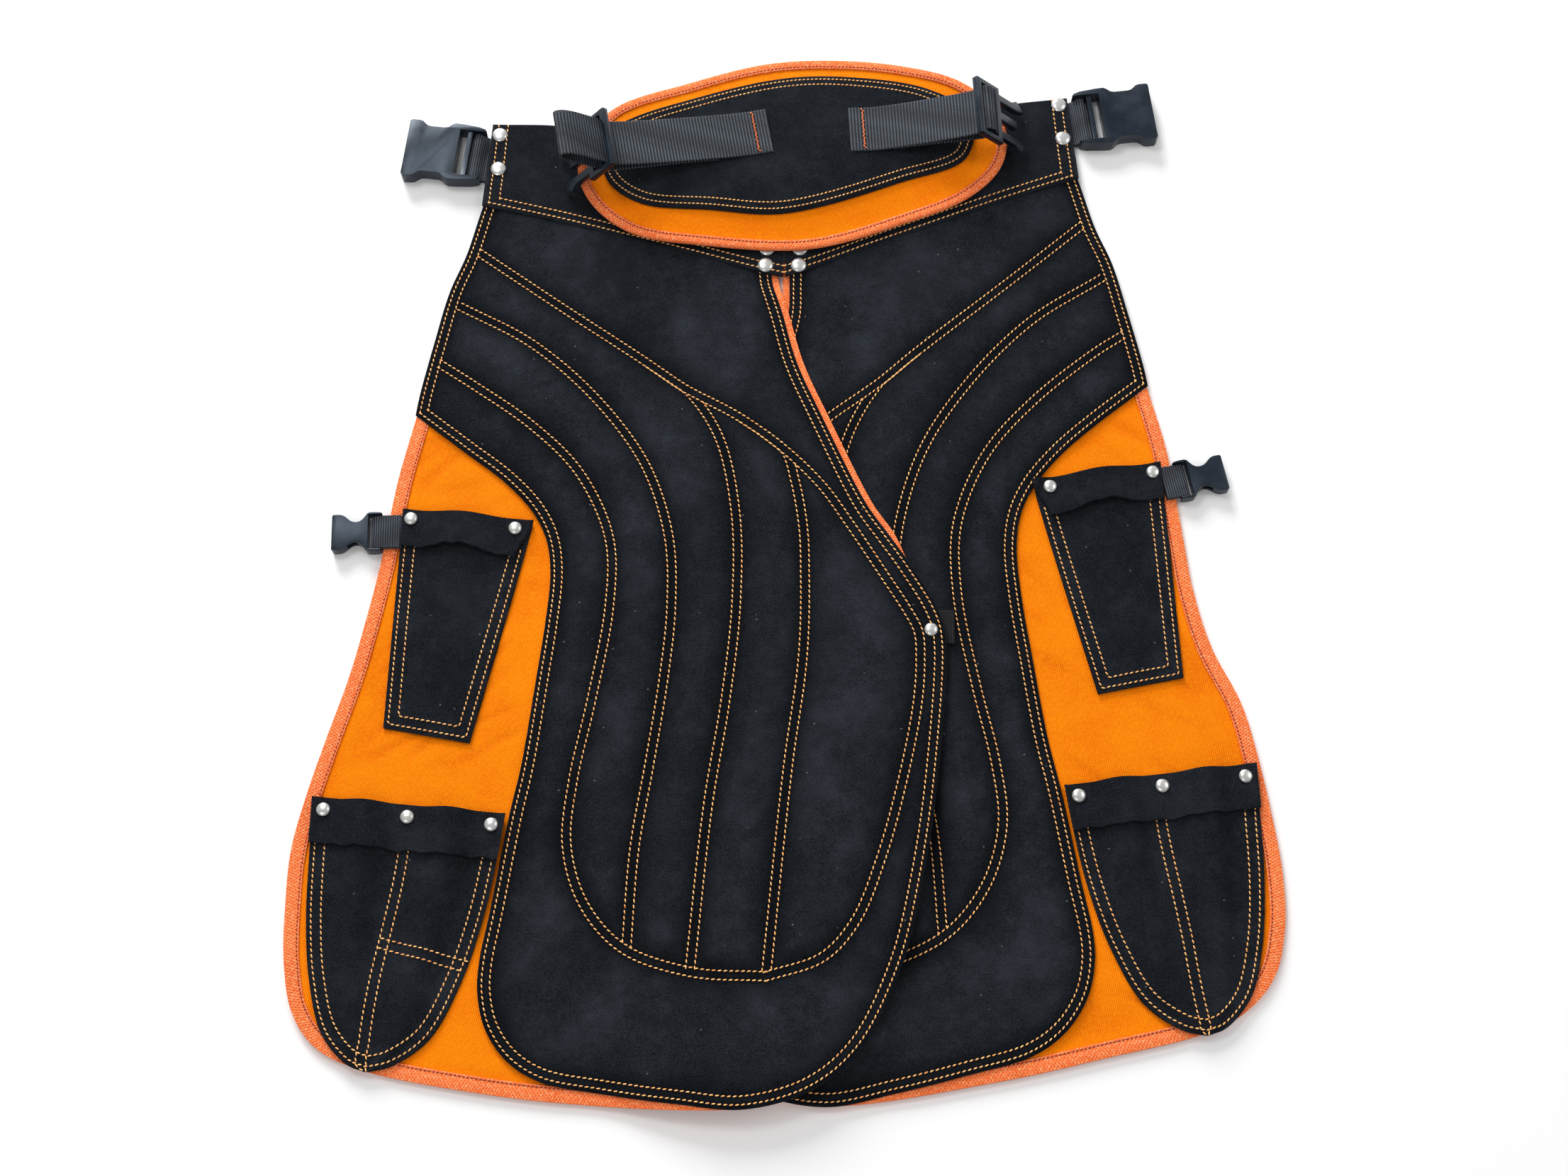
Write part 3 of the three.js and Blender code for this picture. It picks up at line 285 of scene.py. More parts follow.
def drift(points: Array, size: float, seed: float, stretch: float = 1.0) -> Array:
    """Smooth noise from -1 to 1 at plan points, with features about size across."""
    return np.array([noise.noise(Vector((x / size, y / size / stretch, seed))) for x, y in points])


def waviness(points: Array, waves: Sequence) -> Array:
    """Sum of smooth waves at plan points, each as (height, size, place in the noise)."""
    return sum(high * drift(points, size, place) for high, size, place in waves)


def level(height: float) -> Height:
    """A flat height, the same at all plan points."""
    return lambda points: np.full(len(points), height)


@dataclass(frozen=True)
class Frame:
    """Where the plan's own origin lies in the part's frame."""

    dx: float
    dy: float

    @classmethod
    def from_tab(cls) -> "Frame":
        """Reads the shift off the yoke tab, whose plan corner is known."""
        low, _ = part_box("yoke_tab")
        return cls(low[0] / MM - TAB_LOW[0], low[1] / MM - TAB_LOW[1])

    def metres(self, points: Array) -> Array:
        """Plan millimetres to the part's metres."""
        return (np.asarray(points, float) + np.array([self.dx, self.dy, 0.0])) * MM


LAY = Frame.from_tab()


def placed(name: str, data: bpy.types.ID) -> Object:
    """A new object in the scene."""
    obj = bpy.data.objects.new(name, data)
    bpy.context.scene.collection.objects.link(obj)
    return obj


def smooth(mesh: bpy.types.Mesh, sharp: float) -> None:
    """Shades a mesh smooth, apart from edges steeper than so many degrees."""
    mesh.polygons.foreach_set("use_smooth", [True] * len(mesh.polygons))
    mesh.set_sharp_from_angle(angle=math.radians(sharp))


def applied(obj: Object, modifier: bpy.types.Modifier) -> bpy.types.Mesh:
    """An object's mesh with its modifier worked in, and the modifier gone."""
    graph = bpy.context.evaluated_depsgraph_get()
    graph.update()
    mesh = bpy.data.meshes.new_from_object(obj.evaluated_get(graph), depsgraph=graph)
    obj.modifiers.remove(modifier)
    return mesh


@dataclass
class Shape:
    """A closed mesh in plan millimetres, with a pattern map and rim and crown values if it has them."""

    vertices: Array
    faces: list
    uv: Optional[Array] = None
    rim: Optional[Array] = None
    crown: Optional[Array] = None

    def outward(self) -> "Shape":
        """Turns the faces so that the enclosed volume is positive."""
        volume = 0.0
        for face in self.faces:
            a = self.vertices[face[0]]
            for i, j in zip(face[1:-1], face[2:]):
                volume += float(np.dot(a, np.cross(self.vertices[i], self.vertices[j])))
        if volume < 0:
            self.faces = [tuple(reversed(face)) for face in self.faces]
        return self

    def piece(self, name: str, material: Material, sharp: float = 50.0) -> Object:
        """Makes the Blender object in the part's frame.

        Args:
            name: the piece's name.
            material: its finish.
            sharp: edges steeper than this many degrees stay sharp.

        Returns:
            The linked object, at the origin.
        """
        self.outward()
        mesh = bpy.data.meshes.new(name)
        faces = [tuple(int(i) for i in face) for face in self.faces]
        mesh.from_pydata(LAY.metres(self.vertices).tolist(), [], faces)
        mesh.materials.append(material)
        corners = np.empty(len(mesh.loops), np.int32)
        mesh.loops.foreach_get("vertex_index", corners)
        if self.uv is not None:
            layer = mesh.uv_layers.new(name="pattern")
            layer.data.foreach_set("uv", (self.uv[corners] * MM).ravel())
        even = np.full(len(self.vertices), EVEN_CROWN)
        for label, values in (("rim", self.rim), ("crown", even if self.crown is None else self.crown)):
            if values is not None:
                layer = mesh.attributes.new(label, "FLOAT", "POINT")
                layer.data.foreach_set("value", np.asarray(values, np.float32))
        smooth(mesh, sharp)
        mesh.validate()
        mesh.update()
        return placed(name, mesh)


@dataclass
class Slab:
    """A cut sheet: a plan outline with fine points inside and a height above and below."""

    outline: Array
    spacing: float
    top: Height
    bottom: Height
    guides: Sequence = ()
    rounding: float = 0.6
    hidden: Optional[Height] = None

    def fill(self, ring: Array) -> Array:
        """Points inside the ring: rows along the guide lines and a hexagonal grid between them."""
        kept = [line for line in self.guides if len(line)]
        guide = np.vstack(kept) if kept else np.empty((0, 2))
        low, high = ring.min(axis=0), ring.max(axis=0)
        rise = self.spacing * math.sqrt(3) / 2
        rows = np.arange(low[1], high[1], rise)
        columns = np.arange(low[0], high[0], self.spacing)
        grid = np.array([(x + (j % 2) * self.spacing / 2, y) for j, y in enumerate(rows) for x in columns])
        if self.hidden is not None:
            places = ((i, j) for j in range(len(rows)) for i in range(len(columns)))
            sparse = np.array([j % 3 == 0 and i % 3 == 0 for i, j in places])
            grid = grid[sparse | (self.hidden(grid) < 0.98)]
        if len(guide):
            grid = grid[distance_to(guide, grid) > 0.75 * self.spacing]
            guide = guide[inside(ring, guide)]
            grid = np.vstack([guide, grid])
        grid = grid[inside(ring, grid)]
        return grid[distance_to(resample(ring, 1.5, True), grid) > 0.45 * self.spacing]

    def shape(self) -> Shape:
        """Builds the closed sheet with a softened edge."""
        outline = self.outline
        x, y = outline.T
        if np.sum(x * np.roll(y, -1) - y * np.roll(x, -1)) < 0:
            outline = outline[::-1]
        ring = outline + path_normals(outline, True) * self.rounding
        flat = np.vstack([ring, self.fill(ring)])
        count = len(ring)
        found = delaunay_2d_cdt([Vector(p) for p in flat], [], [list(range(count))], 1, 1e-5)
        points = np.array([tuple(v) for v in found[0]])
        home = {old: new for new, olds in enumerate(found[3]) for old in olds}
        loop = [home[i] for i in range(count)]
        top, low = self.top(points), self.bottom(points)
        size = len(points)
        edge_top = self.top(outline) - self.rounding
        edge_low = self.bottom(outline)
        vertices = np.vstack([
            np.column_stack([points, top]), np.column_stack([points, low]),
            np.column_stack([outline, edge_top]), np.column_stack([outline, edge_low]),
        ])
        faces = [tuple(face) for face in found[2]]
        faces += [tuple(size + i for i in reversed(face)) for face in found[2]]
        for i in range(count):
            j = (i + 1) % count
            upper, lower = 2 * size + i, 2 * size + count + i
            upper_next, lower_next = 2 * size + j, 2 * size + count + j
            faces.append((loop[j], loop[i], upper, upper_next))
            faces.append((upper_next, upper, lower, lower_next))
            faces.append((lower_next, lower, size + loop[i], size + loop[j]))
        rim = np.zeros(len(vertices))
        rim[2 * size:] = 1.0
        return Shape(vertices, faces, vertices[:, :2].copy(), rim)


def leather_shell(rows: Sequence, thickness: float, drop: float) -> Shape:
    """A closed leather sheet over a grid of points.

    Args:
        rows: (plan points, underside, waviness) of each row of the grid.
        thickness: thickness of the leather in millimetres.
        drop: how far its cut edge is rounded down.

    Returns:
        The closed shape.
    """
    spots, under, lie = (np.stack(part) for part in zip(*rows))
    rim = np.zeros(under.shape)
    rim[[0, -1], :] = 1.0
    rim[:, [0, -1]] = 1.0
    top = np.dstack([spots, under + thickness + lie * (1 - rim) - drop * rim])
    rows, columns = rim.shape
    size = rim.size
    vertices = np.vstack([top.reshape(-1, 3), np.dstack([spots, under]).reshape(-1, 3)])
    faces = []
    for j in range(rows - 1):
        for i in range(columns - 1):
            k = j * columns + i
            faces.append((k, k + 1, k + columns + 1, k + columns))
            faces.append((size + k, size + k + columns, size + k + columns + 1, size + k + 1))
    border = [*range(columns), *(j * columns + columns - 1 for j in range(1, rows))]
    border += [(rows - 1) * columns + i for i in range(columns - 2, -1, -1)]
    border += [j * columns for j in range(rows - 2, 0, -1)]
    for a, b in zip(border, border[1:] + border[:1]):
        faces.append((b, a, size + a, size + b))
    maps = spots.reshape(-1, 2)
    return Shape(vertices, faces, np.vstack([maps, maps]), np.tile(rim.ravel(), 2))


def sweep(rings: Array, uv: Array, loop: bool = False) -> Shape:
    """A body through rings of points that each run round one closed profile.

    Args:
        rings: rings by corners by 3.
        uv: pattern map of the same grid.
        loop: whether the last ring joins the first.

    Returns:
        The closed shape.
    """
    count, corners = rings.shape[:2]
    faces = []
    for i in range(count if loop else count - 1):
        here, there = i * corners, ((i + 1) % count) * corners
        for k in range(corners):
            n = (k + 1) % corners
            faces.append((here + k, here + n, there + n, there + k))
    if not loop:
        faces.append(tuple(range(corners - 1, -1, -1)))
        faces.append(tuple((count - 1) * corners + k for k in range(corners)))
    return Shape(rings.reshape(-1, 3), faces, uv.reshape(-1, 2))


def folded_tape(path: Array, inward: Array, run: Array, profile: Sequence, pucker: tuple,
                lift: Height, loop: bool = False) -> Shape:
    """A tape folded round an edge.

    Args:
        path: plan points of the edge.
        inward: unit normals towards the cloth.
        run: distance of each point along the edge.
        profile: (inset, height) round the tape's section.
        pucker: (place in the noise, height) of its puckers.
        lift: height above the floor at plan points.
        loop: whether the edge closes on itself.

    Returns:
        The closed shape.
    """
    place, high = pucker
    waves = high * np.array([noise.noise(Vector((s / PUCKER, place, 0.0))) for s in run])
    rings, maps = [], []
    for (inset, level), across in zip(profile, lengths(np.array(profile))):
        spot = path + inward * inset
        wave = waves if level > SEWN_BASE + 0.2 else 0.0
        rings.append(np.column_stack([spot, lift(spot) + level + wave]))
        maps.append(np.column_stack([run, np.full(len(run), across)]))
    return sweep(np.stack(rings, axis=1), np.stack(maps, axis=1), loop)


@dataclass(frozen=True)
class Value:
    """An output of a node, so that sums of sockets read as plain arithmetic."""

    nodes: "NodeTree"
    socket: bpy.types.NodeSocket

    def __add__(self, other: object) -> "Value":
        """The sum with a value or a number."""
        return self.nodes.math("ADD", self, other)

    def __mul__(self, other: object) -> "Value":
        """The product with a value or a number."""
        return self.nodes.math("MULTIPLY", self, other)

    def __rsub__(self, other: float) -> "Value":
        """A number less this value."""
        return self.nodes.math("SUBTRACT", other, self)


@dataclass(frozen=True)
class NodeTree:
    """Small helper that adds nodes to one tree and feeds their inputs."""

    tree: Tree

    @classmethod
    def start(cls, kind: str, name: str, entry: str, sizes: dict, results: dict) -> tuple:
        """Starts a node group.

        Args:
            kind: the type of its tree.
            name: the group's name.
            entry: name and kind of its first input.
            sizes: the default of each number that it takes.
            results: the kind of each output.

        Returns:
            The group, its helper, its inputs by name and its output node.
        """
        tree = bpy.data.node_groups.new(name, kind)
        tree.interface.new_socket(entry, in_out="INPUT", socket_type=f"NodeSocket{entry}")
        for label, value in sizes.items():
            socket = tree.interface.new_socket(label, in_out="INPUT", socket_type="NodeSocketFloat")
            socket.default_value = value
        for label, form in results.items():
            tree.interface.new_socket(label, in_out="OUTPUT", socket_type=f"NodeSocket{form}")
        nodes = cls(tree)
        return tree, nodes, nodes.out(nodes.add("NodeGroupInput")), nodes.add("NodeGroupOutput")

    def feed(self, target: bpy.types.NodeSocket, value: object) -> None:
        """Links a value to an input, or sets the input to a number, vector or colour."""
        if isinstance(value, Value):
            self.tree.links.new(value.socket, target)
        elif target.type == "RGBA":
            target.default_value = (*value, 1.0)
        else:
            target.default_value = value

    def wire(self, node: Node, feed: dict) -> Node:
        """Feeds several inputs of a node, by name or number."""
        for key, value in feed.items():
            self.feed(node.inputs[key], value)
        return node

    def add(self, kind: str, feed: Optional[dict] = None, **settings: object) -> Node:
        """Adds a node.

        Args:
            kind: the node's type.
            feed: what goes into its inputs, by name or number.
            settings: its properties.

        Returns:
            The new node.
        """
        node = self.tree.nodes.new(kind)
        for key, value in settings.items():
            setattr(node, key, value)
        return self.wire(node, feed or {})

    def get(self, kind: str, key: object, feed: Optional[dict] = None, **settings: object) -> Value:
        """Adds a node and gives its output of that name or number."""
        return Value(self, self.add(kind, feed, **settings).outputs[key])

    def out(self, node: Node) -> dict:
        """A node's outputs by name."""
        return {socket.name: Value(self, socket) for socket in node.outputs}

    def math(self, operation: str, *values: object) -> Value:
        """The result of a math node on values or numbers."""
        return self.get("ShaderNodeMath", 0, dict(enumerate(values)), operation=operation)

    def ramp(self, value: Value, low: float, high: float) -> Value:
        """A smooth ramp of a value from low to high."""
        feed = {"Value": value, "From Min": low, "From Max": high}
        return self.get("ShaderNodeMapRange", "Result", feed, interpolation_type="SMOOTHSTEP")

    def blend(self, factor: Value, a: object, b: object) -> Value:
        """Mixes two colours, each a value or a triple."""
        return self.get("ShaderNodeMix", 2, {0: factor, 6: a, 7: b}, data_type="RGBA")

    def attribute(self, name: str) -> Value:
        """A number that each corner of the mesh carries."""
        return self.get("ShaderNodeAttribute", "Fac", attribute_name=name)


class Effects:
    """Shader groups that several finishes share."""

    @staticmethod
    def group(name: str, sizes: dict, results: Sequence) -> tuple:
        """Starts a shader group that takes a vector and named numbers and gives numbers."""
        return NodeTree.start("ShaderNodeTree", name, "Vector", sizes, dict.fromkeys(results, "Float"))

    @classmethod
    def nap(cls) -> Tree:
        """Brushed nap: broad smudges, fine fibres and flecks."""
        names = ("Smudge", "Fibre", "Fleck")
        tree, nodes, given, made = cls.group("nap", {"Broad": 16.0, "Fine": 900.0}, names)
        vector = given["Vector"]
        for scale, detail, rough, low, high, label in (
            ("Broad", 5.0, 0.62, 0.42, 0.72, "Smudge"), ("Fine", 3.0, 0.6, 0.3, 0.7, "Fibre"),
        ):
            feed = {"Vector": vector, "Scale": given[scale], "Detail": detail, "Roughness": rough}
            cloud = nodes.get("ShaderNodeTexNoise", "Fac", feed)
            nodes.wire(made, {label: nodes.ramp(cloud, low, high)})
        feed = {"Vector": vector, "Scale": given["Fine"] * 0.22}
        specks = nodes.out(nodes.add("ShaderNodeTexVoronoi", feed))
        near = 1.0 - nodes.ramp(specks["Distance"], 0.05, 0.16)
        red = nodes.get("ShaderNodeSeparateColor", 0, {0: specks["Color"]})
        nodes.wire(made, {"Fleck": near * nodes.math("GREATER_THAN", red, 0.965)})
        return tree

    @classmethod
    def weave(cls) -> Tree:
        """Woven yarns at an angle: their height, and the dark gaps between them."""
        sizes = {"Pitch": 0.001, "Angle": 0.0, "Slip": 0.5}
        tree, nodes, given, made = cls.group("weave", sizes, ("Height", "Gap"))
        vector = given["Vector"]
        wobble = nodes.get("ShaderNodeTexNoise", "Color", {"Vector": vector, "Scale": 60.0})
        shift = nodes.get("ShaderNodeVectorMath", 0, {0: wobble, "Scale": 0.0012}, operation="SCALE")
        moved = nodes.get("ShaderNodeVectorMath", 0, {0: vector, 1: shift}, operation="ADD")
        feed = {"Vector": moved, "Angle": given["Angle"]}
        turned = nodes.get("ShaderNodeVectorRotate", 0, feed, rotation_type="Z_AXIS")
        split = nodes.out(nodes.add("ShaderNodeSeparateXYZ", {0: turned}))
        turns = nodes.math("DIVIDE", FULL_TURN, given["Pitch"])
        across, along = split["X"] * turns, split["Y"] * turns
        warp = nodes.math("SINE", across + along * given["Slip"])
        weft = nodes.math("SINE", along)
        height = warp * 0.3 + weft * 0.2
        nodes.wire(made, {"Height": height + 0.5, "Gap": 1.0 - nodes.ramp(height, -0.42, -0.08)})
        return tree

    @classmethod
    def scuff(cls) -> Tree:
        """Handling marks: soft cloudy wear and a fine moulding grain."""
        tree, nodes, given, made = cls.group("scuff", {"Scale": 90.0}, ("Cloud", "Grain"))
        for factor, label in ((1.0, "Cloud"), (22.0, "Grain")):
            feed = {"Vector": given["Vector"], "Scale": given["Scale"] * factor, "Detail": 4.0}
            cloud = nodes.get("ShaderNodeTexNoise", "Fac", feed)
            nodes.wire(made, {label: nodes.ramp(cloud, 0.35, 0.7)})
        return tree


@dataclass(frozen=True)
class Finish:
    """Base of all finishes: a named material with one shader."""

    name: str

    def start(self, mapped: bool = False) -> tuple:
        """Makes an empty material.

        Args:
            mapped: whether patterns follow the piece's own map, not its place in space.

        Returns:
            The material, its helper, its shader and its coordinates.
        """
        material = bpy.data.materials.new(self.name)
        material.use_nodes = True
        material.node_tree.nodes.clear()
        nodes = NodeTree(material.node_tree)
        shader = nodes.add("ShaderNodeBsdfPrincipled")
        nodes.add("ShaderNodeOutputMaterial", {"Surface": Value(nodes, shader.outputs[0])})
        return material, nodes, shader, nodes.get("ShaderNodeTexCoord", "UV" if mapped else "Object")

    @staticmethod
    def effect(nodes: NodeTree, tree: Tree, vector: Value, **values: float) -> dict:
        """Places a shared group with its own values, and gives its results by name."""
        return nodes.out(nodes.add("ShaderNodeGroup", {"Vector": vector, **values}, node_tree=tree))

    @staticmethod
    def bump(nodes: NodeTree, shader: Node, height: Value, depth: float, strength: float) -> None:
        """Feeds a height in metres of depth to the shader's normal."""
        feed = {"Distance": depth, "Strength": strength, "Height": height}
        nodes.wire(shader, {"Normal": nodes.get("ShaderNodeBump", 0, feed)})


@dataclass(frozen=True)
class Suede(Finish):
    """Split leather: a brushed nap, with painted light on the raised channels and painted shade toward the
    seams, and paler along cut edges.
    """

    # Dark is the nap painted in shade along the pressed seams, pale the nap painted lit on the channel tops
    # and in its smudges
    dark: tuple = (0.0016, 0.002, 0.0028)
    pale: tuple = (0.0295, 0.034, 0.0425)
    cut: tuple = (0.022, 0.023, 0.027)
    fleck: tuple = (0.12, 0.125, 0.13)

    def build(self, nap: Tree) -> Material:
        """Makes the material."""
        material, nodes, shader, place = self.start()
        brushed = self.effect(nodes, nap, place, Broad=21.0, Fine=900.0)
        mottled = self.effect(nodes, nap, place, Broad=95.0, Fine=1600.0)
        crown, edge = nodes.attribute("crown"), nodes.attribute("rim")
        # Paler on the channel tops and darker toward the pressed seams, by the crown value: painted light
        # and shade, carrying the real smudges and mottle of the nap
        smudge_and_crown_light = crown * (brushed["Smudge"] * 0.34 + mottled["Smudge"] * 0.2 + 0.14)
        # The fibres show more on the channel tops: real nap fibres with painted light
        fibre = brushed["Fibre"] * (crown * 0.3 + 0.12)
        colour = nodes.blend(smudge_and_crown_light + fibre + 0.04, self.dark, self.pale)
        rim = nodes.math("MINIMUM", edge * (brushed["Fibre"] + 0.3), 1.0)
        colour = nodes.blend(rim, colour, self.cut)
        colour = nodes.blend(brushed["Fleck"], colour, self.fleck)
        nodes.wire(shader, {"Base Color": colour, "Roughness": 0.93, "Specular IOR Level": 0.015})
        self.bump(nodes, shader, brushed["Fibre"] + brushed["Smudge"] * 0.6, 0.0004, 0.6)
        return material


@dataclass(frozen=True)
class Cloth(Finish):
    """Woven cloth: canvas or tape, by its colours, yarn pitch and angle, with painted shade in its creases
    and painted highlights on its yarn tops.
    """

    yarn: tuple
    shade: tuple
    # Colour of the dark gaps between yarns, also painted into the creases as shade
    gap: tuple
    # Colour of the painted highlights on the yarn tops
    lit: tuple
    pitch: float
    angle: float
    mapped: bool
    slip: float = 0.5

    def build(self, weave: Tree, nap: Tree) -> Material:
        """Makes the material."""
        material, nodes, shader, place = self.start(self.mapped)
        turn = math.radians(self.angle)
        woven = self.effect(nodes, weave, place, Pitch=self.pitch, Angle=turn, Slip=self.slip)
        fuzz = self.effect(nodes, nap, place, Broad=26.0, Fine=420.0)
        colour = nodes.blend(fuzz["Smudge"], self.yarn, self.shade)
        # Darker where the crown falls in a crease: painted shade, on top of the dark gaps between yarns
        crease = nodes.math("MAXIMUM", EVEN_CROWN - nodes.attribute("crown"), 0.0)
        gap_and_crease_shade = woven["Gap"] * 0.5 + crease * 0.5
        colour = nodes.blend(nodes.math("MINIMUM", gap_and_crease_shade, 1.0), colour, self.gap)
        # Paler on the yarn tops in random flecks: painted highlight
        worn = woven["Height"] * nodes.math("POWER", fuzz["Fibre"], 2.0)
        colour = nodes.blend(nodes.math("MINIMUM", worn, 1.0), colour, self.lit)
        nodes.wire(shader, {
            "Base Color": colour, "Roughness": 0.86, "Specular IOR Level": 0.06,
            "Sheen Weight": 0.02, "Sheen Roughness": 0.5,
        })
        self.bump(nodes, shader, woven["Height"] + fuzz["Fibre"] * 0.3, 0.0005, 0.7)
        return material


@dataclass(frozen=True)
class Thread(Finish):
    """Twisted sewing thread."""

    colour: tuple
    shade: tuple

    def build(self, nap: Tree) -> Material:
        """Makes the material."""
        material, nodes, shader, place = self.start()
        fuzz = self.effect(nodes, nap, place, Broad=430.0, Fine=2600.0)
        colour = nodes.blend(fuzz["Smudge"], self.colour, self.shade)
        nodes.wire(shader, {"Base Color": colour, "Roughness": 0.5, "Sheen Weight": 0.1})
        self.bump(nodes, shader, fuzz["Fibre"], 0.0002, 0.4)
        return material


@dataclass(frozen=True)
class Webbing(Finish):
    """Ribbed polyester webbing, its ribs across the strap, with painted highlights on the rib tops and
    painted shade between them.
    """

    # Dark is painted between the ribs as shade, pale on the rib tops as highlight
    dark: tuple = (0.005, 0.0055, 0.007)
    pale: tuple = (0.105, 0.126, 0.16)
    pitch: float = 0.0017

    def build(self, weave: Tree, nap: Tree) -> Material:
        """Makes the material."""
        material, nodes, shader, place = self.start(True)
        woven = self.effect(nodes, weave, place, Pitch=self.pitch, Angle=0.0, Slip=0.0)
        fuzz = self.effect(nodes, nap, place, Broad=60.0, Fine=1500.0)
        # Paler on the rib tops and dark between them, by the rib height held in the rim value and broken by
        # the weave: painted highlight and shade
        ridge = nodes.math("POWER", nodes.attribute("rim"), 1.4)
        lit = ridge * (woven["Height"] * 1.1) * (fuzz["Fibre"] * 0.5 + 0.65)
        colour = nodes.blend(lit, self.dark, self.pale)
        nodes.wire(shader, {"Base Color": colour, "Roughness": 0.62, "Specular IOR Level": 0.2})
        self.bump(nodes, shader, woven["Height"], 0.0003, 0.5)
        return material


@dataclass(frozen=True)
class Hard(Finish):
    """Moulded acetal or polished nickel, by its colours and metalness."""

    colour: tuple
    worn: tuple
    metal: float
    smooth: float
    dull: float
    grain: float
    gloss: float = 0.5
    tint: tuple = (1.0, 1.0, 1.0)

    def build(self, scuff: Tree) -> Material:
        """Makes the material."""
        material, nodes, shader, place = self.start()
        marks = self.effect(nodes, scuff, place, Scale=70.0)
        span = {"Value": marks["Cloud"], "To Min": self.smooth, "To Max": self.dull}
        nodes.wire(shader, {
            "Base Color": nodes.blend(marks["Cloud"], self.colour, self.worn),
            "Roughness": nodes.get("ShaderNodeMapRange", "Result", span), "Metallic": self.metal,
            "Specular IOR Level": self.gloss, "Specular Tint": self.tint,
        })
        self.bump(nodes, shader, marks["Grain"], 0.0001, self.grain)
        return material


@dataclass
class Wardrobe:
    """All the finishes, made once."""

    suede: Material
    canvas: Material
    tape: Material
    gold: Material
    red: Material
    orange: Material
    webbing: Material
    dark_webbing: Material
    acetal: Material
    nickel: Material

    @classmethod
    def make(cls) -> "Wardrobe":
        """Builds the shared groups and then each material."""
        nap, weave, scuff = Effects.nap(), Effects.weave(), Effects.scuff()
        canvas = Cloth(
            "canvas", yarn=(0.94, 0.22, 0.001), shade=(0.87, 0.18, 0.0008), gap=(0.52, 0.075, 0.0006),
            lit=(0.98, 0.28, 0.0015), pitch=0.0014, angle=38.0, mapped=False)
        tape = Cloth(
            "binding_tape", yarn=(0.9, 0.175, 0.045), shade=(0.76, 0.13, 0.03), gap=(0.44, 0.055, 0.01),
            lit=(1.0, 0.46, 0.22), pitch=0.0021, angle=52.0, mapped=True)
        # A near-black copy of the webbing for the tab that lies in shade under the left leg: painted shade
        dark_webbing = Webbing("dark_webbing", (0.002, 0.0023, 0.003), (0.011, 0.0125, 0.016))
        acetal = Hard(
            "acetal", (0.006, 0.0085, 0.014), (0.012, 0.0165, 0.025), metal=0.0, smooth=0.27, dull=0.36,
            grain=0.18, gloss=0.42, tint=(0.7, 0.85, 1.0))
        nickel = Hard(
            "nickel", (0.76, 0.76, 0.74), (0.6, 0.6, 0.57), metal=0.75, smooth=0.22, dull=0.34, grain=0.05)
        return cls(
            suede=Suede("suede").build(nap),
            canvas=canvas.build(weave, nap),
            tape=tape.build(weave, nap),
            gold=Thread("gold_thread", (1.0, 0.55, 0.19), (0.78, 0.23, 0.03)).build(nap),
            red=Thread("red_thread", (0.24, 0.018, 0.004), (0.15, 0.01, 0.002)).build(nap),
            orange=Thread("orange_thread", (1.0, 0.24, 0.05), (0.8, 0.1, 0.015)).build(nap),
            webbing=Webbing("webbing").build(weave, nap),
            dark_webbing=dark_webbing.build(weave, nap),
            acetal=acetal.build(scuff),
            nickel=nickel.build(scuff),
        )


